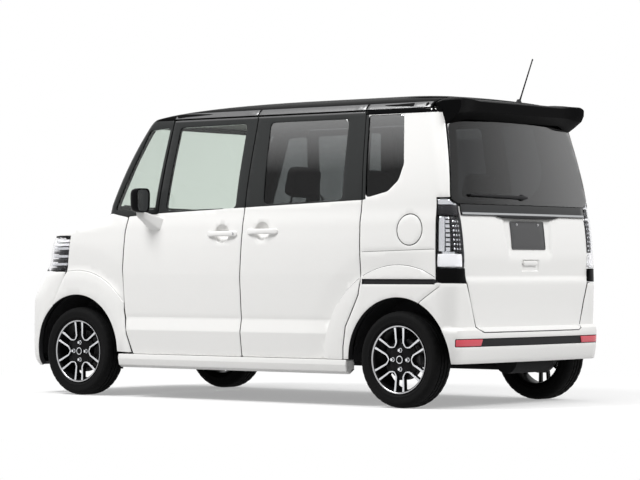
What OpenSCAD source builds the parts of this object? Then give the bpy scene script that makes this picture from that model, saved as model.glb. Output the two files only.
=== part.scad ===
// A tall two-tone kei car with sliding rear doors, at full size in millimetres.
// +X points forward, +Y to the car's left and +Z up. The origin is on the ground,
// below the middle of the body's length and width.

/* [Body] */
// Length over the bumpers
length = 3395; // [3300:5:3480]
// Width over the body sides, without the mirrors
width = 1475; // [1440:5:1520]
// Height of the roof above the ground
height = 1746; // [1700:2:1800]
// Thickness of doors and side walls below the windows
side_wall = 50; // [40:1:55]
// Thickness of the pillars and window frames
pillar_wall = 26; // [20:1:32]
// Thickness of the bumpers and the tailgate
end_wall = 40; // [30:1:46]
// Thickness of the roof and the bonnet
roof_wall = 24; // [18:1:28]
// Gap around every panel that opens
panel_gap = 6; // [5:0.5:8]
// Thickness of the window glass
glass = 5; // [4:0.5:6]

/* [Wheels] */
// Distance between the axles, at the drawn length of the body
wheelbase = 2460; // [2420:5:2500]
// Front axle ahead of the body's middle, at the drawn length
front_axle = 1176; // [1160:1:1190]
// Distance between the middles of the left and right tyres
track = 1296; // [1280:2:1304]
// Outer radius of the tyre
tyre_radius = 266; // [258:1:272]
// Width of the tyre
tyre_width = 156; // [144:2:160]
// Radius of the rim at its flange
rim_radius = 190; // [182:1:194]
// Radius of the wheel arch openings
arch_radius = 342; // [334:1:350]
// Radius of the stub axle that carries a wheel
spindle_radius = 17; // [14:0.5:20]
// Radius of the pin that a front wheel steers on
kingpin_radius = 12; // [10:0.5:14]
// Radial clearance of a shaft in its bore
running_fit = 0.05; // [0.02:0.01:0.09]

/* [Cabin] */
// Top of the cabin floor above the ground
floor_height = 256; // [246:1:262]
// Top of the load floor above the ground
load_floor = 494; // [480:1:510]
// Thickness of the floor sheet and bulkhead
floor_sheet = 24; // [18:1:28]
// Width of a front seat
seat_width = 480; // [440:5:500]
// Radius of the steering wheel's rim
steering_radius = 175; // [165:1:185]

/* [Hidden] */
$fn = 48;

// The outlines below are drawn at these overall sizes and stretched to those asked for.
drawn_length = 3395;
drawn_width = 1475;
drawn_height = 1746;
k_x = length / drawn_length;
k_y = width / drawn_width;
k_z = height / drawn_height;

// The body's plan outline at rising heights. Columns: height, front, rear, half width,
// front bow, front corner length and width, rear bow, rear corner length and width.
LEVELS = [
    [ 170, 1610, -1640, 712, 70, 170, 150, 25, 100, 90],
    [ 215, 1655, -1668, 728, 75, 180, 160, 28, 100, 95],
    [ 300, 1685, -1690, 734, 78, 190, 165, 30, 100, 95],
    [ 380, 1697.5, -1697.5, 736, 80, 195, 170, 32, 100, 95],
    [ 428, 1697, -1694, 737, 80, 195, 170, 32, 100, 95],
    [ 446, 1696, -1672, 737, 80, 195, 170, 32, 100, 95],
    [ 560, 1693, -1675, 737.5, 80, 195, 170, 32, 100, 95],
    [ 700, 1684, -1678, 737.5, 80, 200, 170, 32, 100, 95],
    [ 800, 1668, -1676, 737, 80, 200, 170, 33, 100, 95],
    [ 900, 1640, -1670, 734.5, 82, 205, 170, 34, 95, 90],
    [ 960, 1608, -1664, 731.5, 90, 215, 168, 34, 90, 85],
    [ 990, 1580, -1660, 730, 100, 235, 165, 34, 88, 82],
    [1015, 1530, -1657, 729, 130, 290, 160, 35, 85, 80],
    [1040, 1440, -1654, 727, 180, 360, 150, 35, 82, 76],
    [1060, 1320, -1650, 725, 190, 330, 120, 35, 80, 74],
    [1083, 1150, -1646, 722, 180, 200, 90, 36, 78, 72],
    [1105, 1020, -1642, 719, 95, 60, 50, 36, 76, 70],
    [1150, 993, -1636, 715, 88, 50, 45, 37, 74, 68],
    [1620, 738, -1541, 640, 80, 50, 48, 38, 74, 68],
    [1650, 712, -1533, 634, 85, 60, 60, 38, 80, 75],
    [1672, 640, -1524, 622, 110, 120, 90, 38, 90, 85],
    [1690, 540, -1510, 598, 130, 200, 120, 38, 100, 100],
    [1705, 420, -1485, 560, 150, 260, 150, 45, 130, 130],
    [1718, 290, -1440, 500, 160, 300, 180, 60, 170, 150],
    [1730, 110, -1360, 420, 170, 320, 200, 80, 200, 170],
    [1740, -120, -1230, 310, 150, 300, 180, 90, 200, 150],
    [1746, -420, -1030, 170, 100, 200, 110, 60, 150, 90]
];
// The sides draw in by this much towards the bumpers.
side_bow = 14;
// Heights at which the wall thins to a window frame, and at which the top skin begins.
belt_height = 1090;
shoulder_height = 950;
bottom_height = LEVELS[0][0];
// Steps along each end and along each corner of a plan outline, on the skin and deep behind it,
// and the heights that a face deep behind the skin does without.
FINE = [3, 4];
COARSE = [2, 3];
SKIPPED = [215, 560, 700, 900, 990, 1040, 1672, 1705, 1730];

// Walls given as: low side, high side, ends, top.
OUTSIDE = [0, 0, 0, 0];
CAVITY = [side_wall, pillar_wall, end_wall, roof_wall];
glass_set_back = 4;
GLASS_OUT = [1, 1, 1, 1] * glass_set_back;
GLASS_IN = [1, 1, 1, 1] * (glass_set_back + glass);
trim_depth = 14;
TRIM = [1, 1, 1, 1] * trim_depth;
// A closed panel lies this far from what it closes on.
seat_gap = 0.3;
SEAT = CAVITY + [1, 1, 1, 1] * seat_gap;
lid_depth = 6;
LID = [1, 1, 1, 1] * lid_depth;

// Places that several pieces share.
front_axle_x = front_axle * k_x;
rear_axle_x = front_axle_x - wheelbase * k_x;
half_track = track / 2;
axle_height = tyre_radius;
roof_split = 1646;
rail_low = 1608;
// A cut runs this far past the ends of the body, and this far over its roof.
beyond = 1800;
overhead = 400;
nose = 1400;
tail = -1500;
door_top = roof_split - panel_gap / 2 / k_z;
sill_line = 258;
sill_top = sill_line * k_z;
sill_bottom = 178 * k_z;
sill_inside = 655;
reach = 900;
window_round = 32;
tailgate_front = -1446;
lamp_bottom = 705;
lamp_top = 1150;
bumper_top = 748;
kingpin_y = half_track - 68;
liner_gap = 5;
liner_sheet = 6;
// Radius that clears the outside of a wheel liner.
liner_clear = arch_radius + liner_gap + liner_sheet + 1;
// Flats round a wheel arch.
arch_facets = 40;
liner_inside = 415;
rear_liner_inside = 480;
liner_outside = 668;
rail_inside = 350;
rail_outside = 400;
rail_bottom = 300;
rail_top = 380;
floor_bottom = floor_height - floor_sheet;
bulkhead = 836 * k_x;
rear_step = -640 * k_x;
load_floor_end = -1580 * k_x;
under_load_floor = load_floor - floor_sheet;

// The strut tower over a front wheel, and the arm and foot that hold the knuckle.
tower_radius = 72;
tower_top = 812 * k_z;
tower_roof = 12;
tower_low = axle_height + 200;
strut_y = kingpin_y - 58;
strut_radius = 24;
arm_bottom = axle_height - 116;
arm_thick = 30;
arm_top = arm_bottom + arm_thick;
foot_bottom = axle_height + 110;
foot_thick = 22;
foot_top = foot_bottom + foot_thick;
beam_height = axle_height + 30;

// Front seats and the posts of every headrest.
seat_middle = 330;
post = 7;
post_length = 150;

// The steering wheel and its shaft.
steering_tilt = -62;
steering_place = [430 * k_x, -330 * k_y, 985 * k_z];
shaft_radius = 14;
shaft_length = 300;

// The wheel's section, measured from the middle of the tyre.
hub_inside = half_track - 16;
spindle_end = half_track + 30;
barrel = rim_radius - 12;
flange = 6;
rim_half = tyre_width / 2 - 10;
bead = rim_half - flange;
bead_slack = 0.5;

// Side outlines, as [x, z] along the middle of each gap.
FRONT_DOOR = [[746, 1082], [770, 987], [789, 760], [782, 521], [757, 380], [716, 262],
              [-150, 262], [-143, 712], [-170, 1117], [-206, door_top], [452, door_top], [512, 1092]];
SLIDING_DOOR = [[-150, 262], [-143, 712], [-170, 1117], [-206, door_top], [-995, door_top],
                [-1026, 1146], [-1021, 1023], [-1027, 690], [-1014, 620], [-985, 561], [-924, 444],
                [-906, 330], [-904, 262]];
FRONT_WINDOW = [[398, 1598], [-127, 1604], [-97, 1116], [452, 1108]];
SLIDING_WINDOW = [[-302, 1604], [-877, 1604], [-883, 1149], [-308, 1134]];
FRONT_PANE = [[640, 1590], [478, 1600], [540, 1116], [868, 1112]];
REAR_PANE = [[-1014, 1618], [-1262, 1618], [-1298, 1340], [-1270, 1250], [-1200, 1190], [-1046, 1156]];
A_PILLAR = [[1060, 1088], [480, 1088], [420, roof_split], [800, roof_split]];
FENDER = [[1340, 1088], [700, 1088], [700, sill_line], [1500, sill_line], [1500, 1088]];
HEADLAMP = [[1292, 965], [1324, bumper_top], [beyond, bumper_top], [beyond, 905], [1600, 935], [1450, 968]];
FRONT_BUMPER = [[beyond, bumper_top], [1324, bumper_top], [1395, 530], [1395, 0], [beyond, 0]];
REAR_BUMPER = [[-beyond, lamp_bottom], [-1590, lamp_bottom], [-1567, 666], [-1440, 586], [-1440, 247],
               [-beyond, 247]];
QUARTER = [[-890, sill_line], [-890, roof_split], [-1700, roof_split], [-1700, sill_line]];
TAIL_LAMP = [[-1533, lamp_top], [-1543, lamp_bottom], [-beyond, lamp_bottom], [-beyond, lamp_top]];
fuel_x = -1365;
fuel_z = 978;
fuel_radius = 88;
fuel_pocket = 30;
fuel_step = 18;
slide_rail_z = 704;
slide_rail_height = 14;
slide_rail_depth = 16;
slide_rail_rear = -1560;
slide_rail_front = -1000;

// Lines pressed into the lower side, as heights and depths below the plain skin.
PRESSED = [[240, 14], [402, 4], [483, 17], [735, 6], [960, -2]];
flare_radius = 482;
flare_slope = 40;
flare_depth = 34;

// Door handles, as [x, z] of their middles.
FRONT_HANDLE = [-10, 982];
REAR_HANDLE = [-315, 990];
handle_span = 196;
cup_radius = 64;
cup_depth = 20;

// End outlines, as [y, z] for the left half.
TAILGATE = [[0, beyond], [575, beyond], [590, 1640], [668, 1168], [668, 1135], [612, 1112], [608, 730],
            [560, 590], [513, 450], [468, 420], [0, 420]];
TAILGATE_WINDOW = [[0, 1582], [540, 1570], [632, 1150], [610, 1134], [0, 1126]];
windscreen_bottom = 1112;
WINDSCREEN = [[0, roof_split], [583, roof_split], [650, windscreen_bottom], [0, windscreen_bottom]];
grille_half = 424;
bonnet_lip = 903;
grille_top = bonnet_lip - seat_gap;
grille_bottom = bumper_top + 20;
GRILLE = [[0, grille_top], [grille_half, grille_top], [grille_half, grille_bottom], [0, grille_bottom]];
GRILLE_SILL = [[0, grille_bottom], [grille_half, grille_bottom], [grille_half, bumper_top], [0, bumper_top]];
intake_half = 430;
INTAKE = [[0, 400], [intake_half, 400], [intake_half - 40, 268], [0, 268]];
garnish_bottom = 1054;
garnish_top = 1114;
garnish_half = 606;
// The strip across the rear bumper, and the pocket of the tailgate's handle.
strip_bottom = 341;
strip_height = 40;
strip_half = 600;
strip_depth = 6;
pocket_bottom = 754;
pocket_height = 54;
pocket_half = 74;
pocket_depth = 14;
plate_half = 172;
plate_bottom = 868;
plate_top = 1038;
plate_floor = -1642;
plate_sheet = 6;
plate_hole_z = 1018;
plate_hole_span = 210;
plate_hole_radius = 3.5;

// Bonnet outline from above, as its half width at the rear and front, and its rear edge.
bonnet_rear = 1036;
bonnet_rear_bow = 95;
bonnet_rear_half = 648;
bonnet_front_half = 600;

// Plan outline of the body at one row of LEVELS, left half from nose to tail.
function half_ring(row, steps) =
    let (front = row[1], rear = row[2], half = row[3],
         edge = steps[0], corner = steps[1],
         y_front = half - row[6],
         x_front = front - row[4] * pow(y_front / half, 2) - row[5],
         y_rear = half - row[9],
         x_rear = rear + row[7] * pow(y_rear / half, 2) + row[8])
    concat(
        [for (i = [0:edge - 1]) let (y = y_front * i / edge) [front - row[4] * pow(y / half, 2), y]],
        [for (i = [0:corner]) let (a = 90 * i / corner)
            [x_front + row[5] * cos(a), y_front + row[6] * sin(a)]],
        [for (i = [1:edge - 1]) [x_front + (x_rear - x_front) * i / edge, half]],
        [for (i = [0:corner]) let (a = 90 + 90 * i / corner)
            [x_rear + row[8] * cos(a), y_rear + row[9] * sin(a)]],
        [for (i = [edge - 1:-1:0]) let (y = y_rear * i / edge) [rear + row[7] * pow(y / half, 2), y]]);

// Half width of the body at a height, in the middle of its length.
function side_at(z) = lookup(z, [for (row = LEVELS) [row[0], row[3]]]);

// A half outline drawn in towards the ends, at full scale and height.
function placed(p, row) =
    [p.x * k_x, p.y * (1 - side_bow * pow(2 * p.x / drawn_length, 2) / row[3]) * k_y, row[0] * k_z];

function ring(row, steps) =
    let (half = half_ring(row, steps), last = len(half) - 1)
    concat([for (p = half) placed(p, row)],
           [for (i = [last - 1:-1:1]) placed([half[i].x, -half[i].y], row)]);

// One row drawn in by the wall thicknesses; the lowest row drops so that the underside is open.
function inset(row, wall) =
    let (drop = row[0] > shoulder_height ? wall[3] : row[0] == bottom_height ? wall[2] : 0,
         side = row[0] < belt_height ? wall[0] : wall[1])
    concat([row[0] - drop, row[1] - wall[2], row[2] + wall[2], row[3] - side], [for (i = [4:9]) row[i]]);

module band(lower, upper) {
    points = concat(lower, upper);
    hull() polyhedron(points, [[for (i = [0:len(points) - 1]) i]]);
}

// The body as one closed solid, drawn in by the walls.
module body_solid(wall) {
    deep = wall[2] >= trim_depth;
    rings = [for (row = LEVELS) if (!deep || len(search(row[0], SKIPPED)) == 0)
        ring(inset(row, wall), deep ? COARSE : FINE)];
    for (i = [0:len(rings) - 2]) band(rings[i], rings[i + 1]);
}

module shell(outer, inner) {
    difference() {
        body_solid(outer);
        body_solid(inner);
    }
}

// A left side outline carried through the side wall.
module side_cut(inside = 300) {
    translate([0, reach, 0]) rotate([90, 0, 0]) linear_extrude(reach - inside) scale([k_x, k_z]) children();
}

// An end outline, drawn for the left half, carried along the car on both halves.
module end_cut(from, to) {
    translate([from * k_x, 0, 0]) rotate([90, 0, 90]) linear_extrude((to - from) * k_x) scale([k_y, k_z]) {
        children();
        mirror([1, 0]) children();
    }
}

// An end outline carried through the nose, or through the tail from this place.
module nose_cut() {
    end_cut(nose, beyond) children();
}

module tail_cut(from) {
    end_cut(-beyond, from) children();
}

module soft_corners(radius) {
    offset(r = radius, $fn = 20) offset(delta = -radius) children();
}

module on_side(side) {
    mirror([0, side < 0 ? 1 : 0, 0]) children();
}

module both_sides() {
    for (side = [1, -1]) on_side(side) children();
}

module arch(x, radius = arch_radius, inside = liner_inside) {
    translate([x, reach, axle_height]) rotate([90, 0, 0])
        cylinder(r = radius, h = reach - inside, $fn = arch_facets);
}

// Room in a bumper for the wheel liner behind its wall, with flats that clear the round liner.
module liner_room(x) {
    room = liner_clear / cos(180 / arch_facets);
    translate([x, liner_outside + 1, axle_height]) rotate([90, 0, 0])
        cylinder(r = room, h = liner_outside - liner_inside, $fn = arch_facets);
}

module front_door_shape(grow) {
    side_cut() offset(delta = grow) polygon(FRONT_DOOR);
}

module sliding_door_shape(grow) {
    side_cut() offset(delta = grow) polygon(SLIDING_DOOR);
}

module window_shape(outline) {
    side_cut() soft_corners(window_round) polygon(outline);
}

module tailgate_shape(grow) {
    tail_cut(tailgate_front + grow) offset(delta = grow) polygon(TAILGATE);
}

module tailgate_window_shape() {
    tail_cut(-1300) soft_corners(window_round) polygon(TAILGATE_WINDOW);
}

module windscreen_shape() {
    end_cut(540, 1200) polygon(WINDSCREEN);
}

function bonnet_rear_x(y) = bonnet_rear - bonnet_rear_bow * pow(y / drawn_width * 2, 2);

function bonnet_rear_edge(steps = 8) =
    [for (i = [-steps:steps]) let (y = bonnet_rear_half * i / steps) [bonnet_rear_x(y), y]];

module bonnet_outline(grow) {
    left = [[1320, 630], [1500, bonnet_front_half], [beyond, bonnet_front_half - 60]];
    right = [for (i = [len(left) - 1:-1:0]) [left[i].x, -left[i].y]];
    offset(delta = grow) scale([k_x, k_y]) polygon(concat(bonnet_rear_edge(), left, right));
}

module bonnet_shape(grow) {
    translate([0, 0, (bonnet_lip - grow) * k_z]) linear_extrude(overhead) bonnet_outline(grow);
}

module cowl_shape() {
    low = 1030;
    rear_corners = [[860, bonnet_rear_half], [860, -bonnet_rear_half]];
    translate([0, 0, low * k_z]) linear_extrude((windscreen_bottom - low) * k_z)
        scale([k_x, k_y]) polygon(concat(bonnet_rear_edge(), rear_corners));
}

module headlamp_shape() {
    side_cut(grille_half) polygon(HEADLAMP);
}

module side_panel_base(outline, inside = 300) {
    intersection() {
        shell(OUTSIDE, CAVITY);
        side_cut(inside) polygon(outline);
    }
}

module pane(outline) {
    intersection() {
        shell(GLASS_OUT, GLASS_IN);
        window_shape(outline);
    }
}

// Body panels.
module roof() {
    color("black") {
        difference() {
            intersection() {
                shell(OUTSIDE, CAVITY);
                translate([-beyond, -reach, roof_split * k_z]) cube([2 * beyond, 2 * reach, overhead]);
            }
            tailgate_shape(panel_gap);
        }
        both_sides() {
            intersection() {
                roof_rail(rail_low);
                body_solid(SEAT);
            }
            roof_rail(roof_split);
        }
    }
}

// A rail along the roof's edge, from this height up into the roof.
module roof_rail(low) {
    depth = 32;
    top = 1662;
    outside = 604;
    rear = -1420;
    front = 520;
    translate([rear * k_x, (outside - depth) * k_y, low * k_z])
        cube([(front - rear) * k_x, depth, (top - low) * k_z]);
}

module a_pillars() {
    color("black") both_sides() difference() {
        side_panel_base(A_PILLAR, 480);
        front_door_shape(panel_gap / 2);
        window_shape(FRONT_PANE);
        windscreen_shape();
        cowl_shape();
        bonnet_shape(panel_gap);
    }
}

module b_pillars() {
    foot = [110, 60, 10];
    head = [90, 60, 10];
    foot_x = -205 * k_x;
    foot_y = 656 * k_y;
    head_x = -240 * k_x;
    head_y = 574 * k_y;
    waist = 1080 * k_z;
    color("dimgray") both_sides() intersection() {
        hull() {
            translate([foot_x, foot_y, sill_top]) cube(foot);
            translate([foot_x, foot_y, waist]) cube(foot);
            translate([head_x, head_y, rail_low * k_z - head.z]) cube(head);
        }
        body_solid(SEAT);
    }
}

module quarter_panel(side) {
    color("white") on_side(side) difference() {
        side_panel_base(QUARTER, 420);
        sliding_door_shape(panel_gap / 2);
        window_shape(REAR_PANE);
        side_cut() polygon(TAIL_LAMP);
        side_cut() polygon(REAR_BUMPER);
        tailgate_shape(panel_gap);
        arch(rear_axle_x, inside = 300);
        if (side > 0) {
            skin_cut(lid_depth + seat_gap) side_cut() fuel_circle(fuel_radius);
            skin_cut(fuel_pocket) side_cut() fuel_circle(fuel_radius - fuel_step);
        }
        skin_cut(slide_rail_depth) slide_rail_shape();
        pressed_lines();
    }
}

// The lines pressed into the lower side, let out again around the wheels by a flare.
module pressed_lines() {
    section = [for (p = PRESSED) [(side_at(p[0]) - p[1]) * k_y, p[0] * k_z]];
    last = len(section) - 1;
    closed = concat(section, [[reach, section[last].y], [reach, section[0].y]]);
    difference() {
        translate([-beyond, 0, 0]) rotate([90, 0, 90]) linear_extrude(2 * beyond) polygon(closed);
        for (x = [front_axle_x, rear_axle_x]) translate([x, side_at(axle_height) * k_y, axle_height])
            rotate([90, 0, 0]) translate([0, 0, -flare_depth]) cylinder(r1 = flare_radius - flare_slope,
                r2 = flare_radius + flare_slope, h = 2 * flare_depth, $fn = 36);
    }
}

// The hollow behind a door handle.
module handle_cup(place) {
    translate([place.x * k_x, side_at(place.y) * k_y, place.y * k_z])
        scale([cup_radius, cup_depth, cup_radius]) sphere(1, $fn = 16);
}

// A cutter that reaches only this deep below the body's skin.
module skin_cut(depth) {
    difference() {
        children();
        body_solid([1, 1, 1, 1] * depth);
    }
}

module fuel_circle(radius) {
    translate([fuel_x, fuel_z]) circle(radius, $fn = 28);
}

module slide_rail_shape() {
    side_cut() translate([slide_rail_rear, slide_rail_z - slide_rail_height / 2])
        square([slide_rail_front - slide_rail_rear, slide_rail_height]);
}

module fuel_lid() {
    color("white") intersection() {
        shell(OUTSIDE, LID);
        side_cut() fuel_circle(fuel_radius - panel_gap);
    }
}

module sliding_door(side) {
    color("white") on_side(side) door_rollers();
    color("white") on_side(side) difference() {
        intersection() {
            shell(OUTSIDE, CAVITY);
            sliding_door_shape(-panel_gap / 2);
        }
        window_shape(SLIDING_WINDOW);
        pressed_lines();
        handle_cup(REAR_HANDLE);
    }
}

// Feet below the sliding door that run on the sill.
module door_rollers() {
    foot = [60, 22, 14];
    foot_y = 692;
    for (x = [-330, -820]) translate([x * k_x, foot_y * k_y, sill_top]) cube(foot);
}

module front_door(side) {
    color("white") on_side(side) difference() {
        intersection() {
            shell(OUTSIDE, CAVITY);
            front_door_shape(-panel_gap / 2);
        }
        window_shape(FRONT_WINDOW);
        pressed_lines();
        handle_cup(FRONT_HANDLE);
    }
}

module fenders() {
    color("white") both_sides() difference() {
        side_panel_base(FENDER, 420);
        front_door_shape(panel_gap / 2);
        bonnet_shape(panel_gap);
        cowl_shape();
        headlamp_shape();
        side_cut() polygon(FRONT_BUMPER);
        arch(front_axle_x, inside = 300);
        pressed_lines();
    }
}

module cowl() {
    color("black") difference() {
        intersection() {
            shell(OUTSIDE, CAVITY);
            cowl_shape();
        }
        bonnet_shape(panel_gap);
    }
}

module bonnet() {
    color("white") difference() {
        intersection() {
            shell(OUTSIDE, CAVITY);
            bonnet_shape(0);
        }
        both_sides() side_cut(grille_half - panel_gap) offset(delta = panel_gap) polygon(HEADLAMP);
    }
}

module front_bumper() {
    color("white") difference() {
        intersection() {
            shell(OUTSIDE, CAVITY);
            both_sides() side_cut(0) polygon(FRONT_BUMPER);
        }
        both_sides() {
            arch(front_axle_x, inside = 300);
            liner_room(front_axle_x);
        }
        nose_cut() polygon(INTAKE);
    }
}

// Slats across an opening in the nose, as wide as the opening.
module slats(outline, low, high, count) {
    pitch = (high - low) / count;
    rib = 20;
    nose_depth = (beyond - nose) * k_x;
    intersection() {
        shell(TRIM, CAVITY);
        nose_cut() polygon(outline);
        union() {
            for (i = [0:count]) translate([nose * k_x, -reach, (low + i * pitch - pitch / 4) * k_z])
                cube([nose_depth, 2 * reach, pitch / 2 * k_z]);
            for (y = [-grille_half, 0, grille_half]) translate([nose * k_x, (y - rib / 2) * k_y, low * k_z])
                cube([nose_depth, rib, (high - low) * k_z]);
        }
    }
}

module grille() {
    color("dimgray") {
        slats(GRILLE, GRILLE[2].y, GRILLE[0].y, 4);
        slats(INTAKE, INTAKE[2].y, INTAKE[0].y, 4);
        // The panel between the upper slats and the bumper's edge.
        intersection() {
            shell(OUTSIDE, CAVITY);
            nose_cut() polygon(GRILLE_SILL);
        }
    }
}

module headlamps() {
    color("lightgray") both_sides() difference() {
        intersection() {
            shell(OUTSIDE, CAVITY);
            headlamp_shape();
        }
        side_cut() polygon(FRONT_BUMPER);
    }
}

module rear_bumper() {
    color("white") difference() {
        intersection() {
            shell(OUTSIDE, CAVITY);
            both_sides() side_cut(0) polygon(REAR_BUMPER);
        }
        both_sides() {
            arch(rear_axle_x, inside = 300);
            liner_room(rear_axle_x);
        }
        tailgate_shape(panel_gap);
        skin_cut(strip_depth) strip_shape();
    }
    color("white") striker();
}

// A block on the bumper's top that the tailgate closes on.
module striker() {
    size = [80, 140, 86];
    joint_height = 16;
    corner = [-1672 * k_x, -size.y / 2, 394 * k_z];
    translate(corner) cube([size.x, size.y, joint_height]);
    intersection() {
        translate(corner) cube(size);
        body_solid(SEAT);
    }
}

module tail_lamps() {
    color("lightgray") both_sides() difference() {
        intersection() {
            shell(OUTSIDE, CAVITY);
            side_cut(420) polygon(TAIL_LAMP);
        }
        tailgate_shape(panel_gap);
    }
}

module garnish_shape() {
    tail_cut(tail) translate([0, garnish_bottom]) square([garnish_half, garnish_top - garnish_bottom]);
}

module strip_shape() {
    tail_cut(tail) translate([0, strip_bottom]) square([strip_half, strip_height]);
}

module pocket_shape() {
    tail_cut(tail) translate([0, pocket_bottom]) square([pocket_half, pocket_height]);
}

module plate_recess_shape() {
    tail_cut(plate_floor) translate([0, plate_bottom]) square([plate_half, plate_top - plate_bottom]);
}

// Places the two holes of the number plate, looking at the car from behind.
module plate_holes(radius, depth) {
    front = plate_floor * k_x - plate_sheet - 1;
    for (side = [1, -1]) translate([front, side * plate_hole_span / 2, plate_hole_z * k_z])
        rotate([0, 90, 0]) cylinder(r = radius, h = depth, $fn = 20);
}

module plate_holder() {
    room = 5;
    size = [plate_sheet, 2 * (plate_half * k_y - room), (plate_top - plate_bottom) * k_z - 2 * room];
    color("black") difference() {
        translate([plate_floor * k_x - plate_sheet, -size.y / 2, plate_bottom * k_z + room]) cube(size);
        plate_holes(plate_hole_radius, plate_sheet + 2);
    }
}

module tailgate() {
    color("white") difference() {
        intersection() {
            shell(OUTSIDE, CAVITY);
            tailgate_shape(0);
        }
        tailgate_window_shape();
        skin_cut(trim_depth) garnish_shape();
        plate_recess_shape();
        plate_holes(plate_hole_radius + 3, plate_sheet + 14);
        skin_cut(pocket_depth) pocket_shape();
    }
}

module tailgate_glass() {
    color("black") intersection() {
        shell(GLASS_OUT, GLASS_IN);
        tailgate_window_shape();
    }
}

module garnish() {
    color("gray") intersection() {
        shell(OUTSIDE, TRIM);
        garnish_shape();
    }
}

// The spoiler rests on the tailgate's top and ends in a plate on each side.
module spoiler() {
    half = 560;
    end_plate = 38;
    wing = [[-1452, 1712], [-1530, 1703], [-1612, 1688], [-1616, 1680], [-1606, 1626], [-1598, 1620],
            [-1545, 1592]];
    plate = [[-1470, 1696], [-1590, 1699], [-1632, 1689], [-1640, 1655], [-1515, 1555], [-1490, 1648]];
    color("black") difference() {
        union() {
            across(-half, half) polygon(wing);
            across(half, half + end_plate) polygon(plate);
            across(-half - end_plate, -half) polygon(plate);
        }
        body_solid(OUTSIDE);
    }
}

// A side outline carried across the car, from one side to the other.
module across(from, to) {
    translate([0, to * k_y, 0]) rotate([90, 0, 0]) linear_extrude((to - from) * k_y)
        scale([k_x, k_z]) children();
}

module windscreen() {
    color("lightgray", 0.5) intersection() {
        shell(GLASS_OUT, GLASS_IN);
        windscreen_shape();
    }
}

module side_sills() {
    sill_out = 737;
    profile = [[sill_inside, 200], [sill_inside, sill_line], [sill_out - 3, sill_line], [sill_out, 230],
               [sill_out - 8, 192], [sill_out - 30, 178], [690, 178], [676, 200]];
    sill_front = front_axle_x - liner_clear;
    sill_rear = rear_axle_x + liner_clear;
    color("white") both_sides() translate([sill_rear, 0, 0]) rotate([90, 0, 90])
        linear_extrude(sill_front - sill_rear) polygon([for (p = profile) [p.x * k_y, p.y * k_z]]);
}

// Mirror on the front door: a rounded case on a foot that is seated on the skin.
module mirror_unit(side) {
    round = 26;
    case_x = [566, 589];
    case_y = [780, 842];
    case_z = [1122, 1215];
    low = [[478, 1070], [603, 1070], [590, 1012], [560, 996]];
    neck = [50, 40, 20];
    color("black") on_side(side) difference() {
        union() {
            hull() for (x = case_x) for (y = case_y) for (z = case_z)
                translate([x * k_x, y * k_y, z * k_z]) sphere(round, $fn = 12);
            hull() {
                across(702, 742) polygon(low);
                translate([552 * k_x, 764 * k_y, 1092 * k_z]) cube(neck);
            }
        }
        body_solid(OUTSIDE);
    }
}

// A pull handle seen from above: a bar bowed away from the skin, with a foot at each end.
module pull_handle(place) {
    skin = side_at(place.y) * k_y;
    bar = 12;
    foot = 20;
    sunk = -12;
    end_rise = 8;
    middle_rise = 26;
    tall = 24;
    half = handle_span / 2;
    steps = 4;
    outer = [for (i = [-steps:steps]) bow_point(i / steps, half, end_rise, middle_rise)];
    inner = [for (i = [steps:-1:-steps])
        bow_point(i / steps, half - foot, end_rise - bar, middle_rise - bar)];
    feet = [[half, sunk], [half - foot, sunk]];
    far_feet = [[foot - half, sunk], [-half, sunk]];
    difference() {
        translate([place.x * k_x, skin, place.y * k_z - tall / 2]) linear_extrude(tall)
            polygon(concat(outer, feet, inner, far_feet));
        body_solid(OUTSIDE);
    }
}

// A point on a bow, from one end at -1 to the other at 1.
function bow_point(t, half, end, middle) = [t * half, end + (middle - end) * (1 - t * t)];

module door_handle(side) {
    color("white") on_side(side) pull_handle(FRONT_HANDLE);
}

module sliding_door_handles() {
    color("white") both_sides() pull_handle(REAR_HANDLE);
}

module antenna() {
    lean = -21;
    rod = 275;
    rod_radius = 4;
    base = [20, 12, 28];
    foot = [-1350 * k_x, -336 * k_y, 1716 * k_z];
    color("black") difference() {
        translate(foot) {
            cylinder(r1 = base[0], r2 = base[1], h = base[2], $fn = 20);
            rotate([0, lean, 0]) cylinder(r = rod_radius, h = rod, $fn = 12);
        }
        body_solid(OUTSIDE);
    }
}

// A wiper across the foot of a window: an arm that lies off the glass, thinner to its tip.
module wiper_arm(from, to) {
    thick = 9;
    hull() {
        translate([from.x * k_x, from.y, from.z * k_z]) sphere(thick, $fn = 10);
        translate([to.x * k_x, to.y, to.z * k_z]) sphere(thick - 2, $fn = 10);
    }
}

module front_wipers() {
    // Each wiper by the place of its spindle and of its tip.
    WIPERS = [[[1004, 60, 1120], [962, 530, 1150]], [[972, -440, 1118], [1015, 20, 1136]]];
    spindle = [14, 56];
    color("black") for (w = WIPERS) difference() {
        union() {
            translate([w[0].x * k_x, w[0].y, w[0].z * k_z - spindle[1] + 6])
                cylinder(r = spindle[0], h = spindle[1], $fn = 16);
            wiper_arm(w[0], w[1]);
        }
        body_solid(OUTSIDE);
    }
}

module rear_wiper() {
    spindle = [20, 40];
    from = [-1660, 30, 1160];
    to = [-1628, 520, 1186];
    color("black") difference() {
        union() {
            translate([from.x * k_x - 4, from.y, from.z * k_z]) rotate([0, 90, 0])
                cylinder(r = spindle[0], h = spindle[1], $fn = 16);
            wiper_arm(from, to);
        }
        body_solid(GLASS_OUT);
    }
}

// Structure below and inside the panels.
module wheel_liner(x, inside) {
    radius = arch_radius + liner_gap;
    translate([x, liner_outside, axle_height]) rotate([90, 0, 0]) difference() {
        cylinder(r = radius + liner_sheet, h = liner_outside - inside);
        translate([0, 0, -1]) cylinder(r = radius, h = liner_outside - inside - liner_sheet + 1);
        translate([-reach, -reach - 20, -1]) cube([2 * reach, reach, reach]);
    }
}

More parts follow.
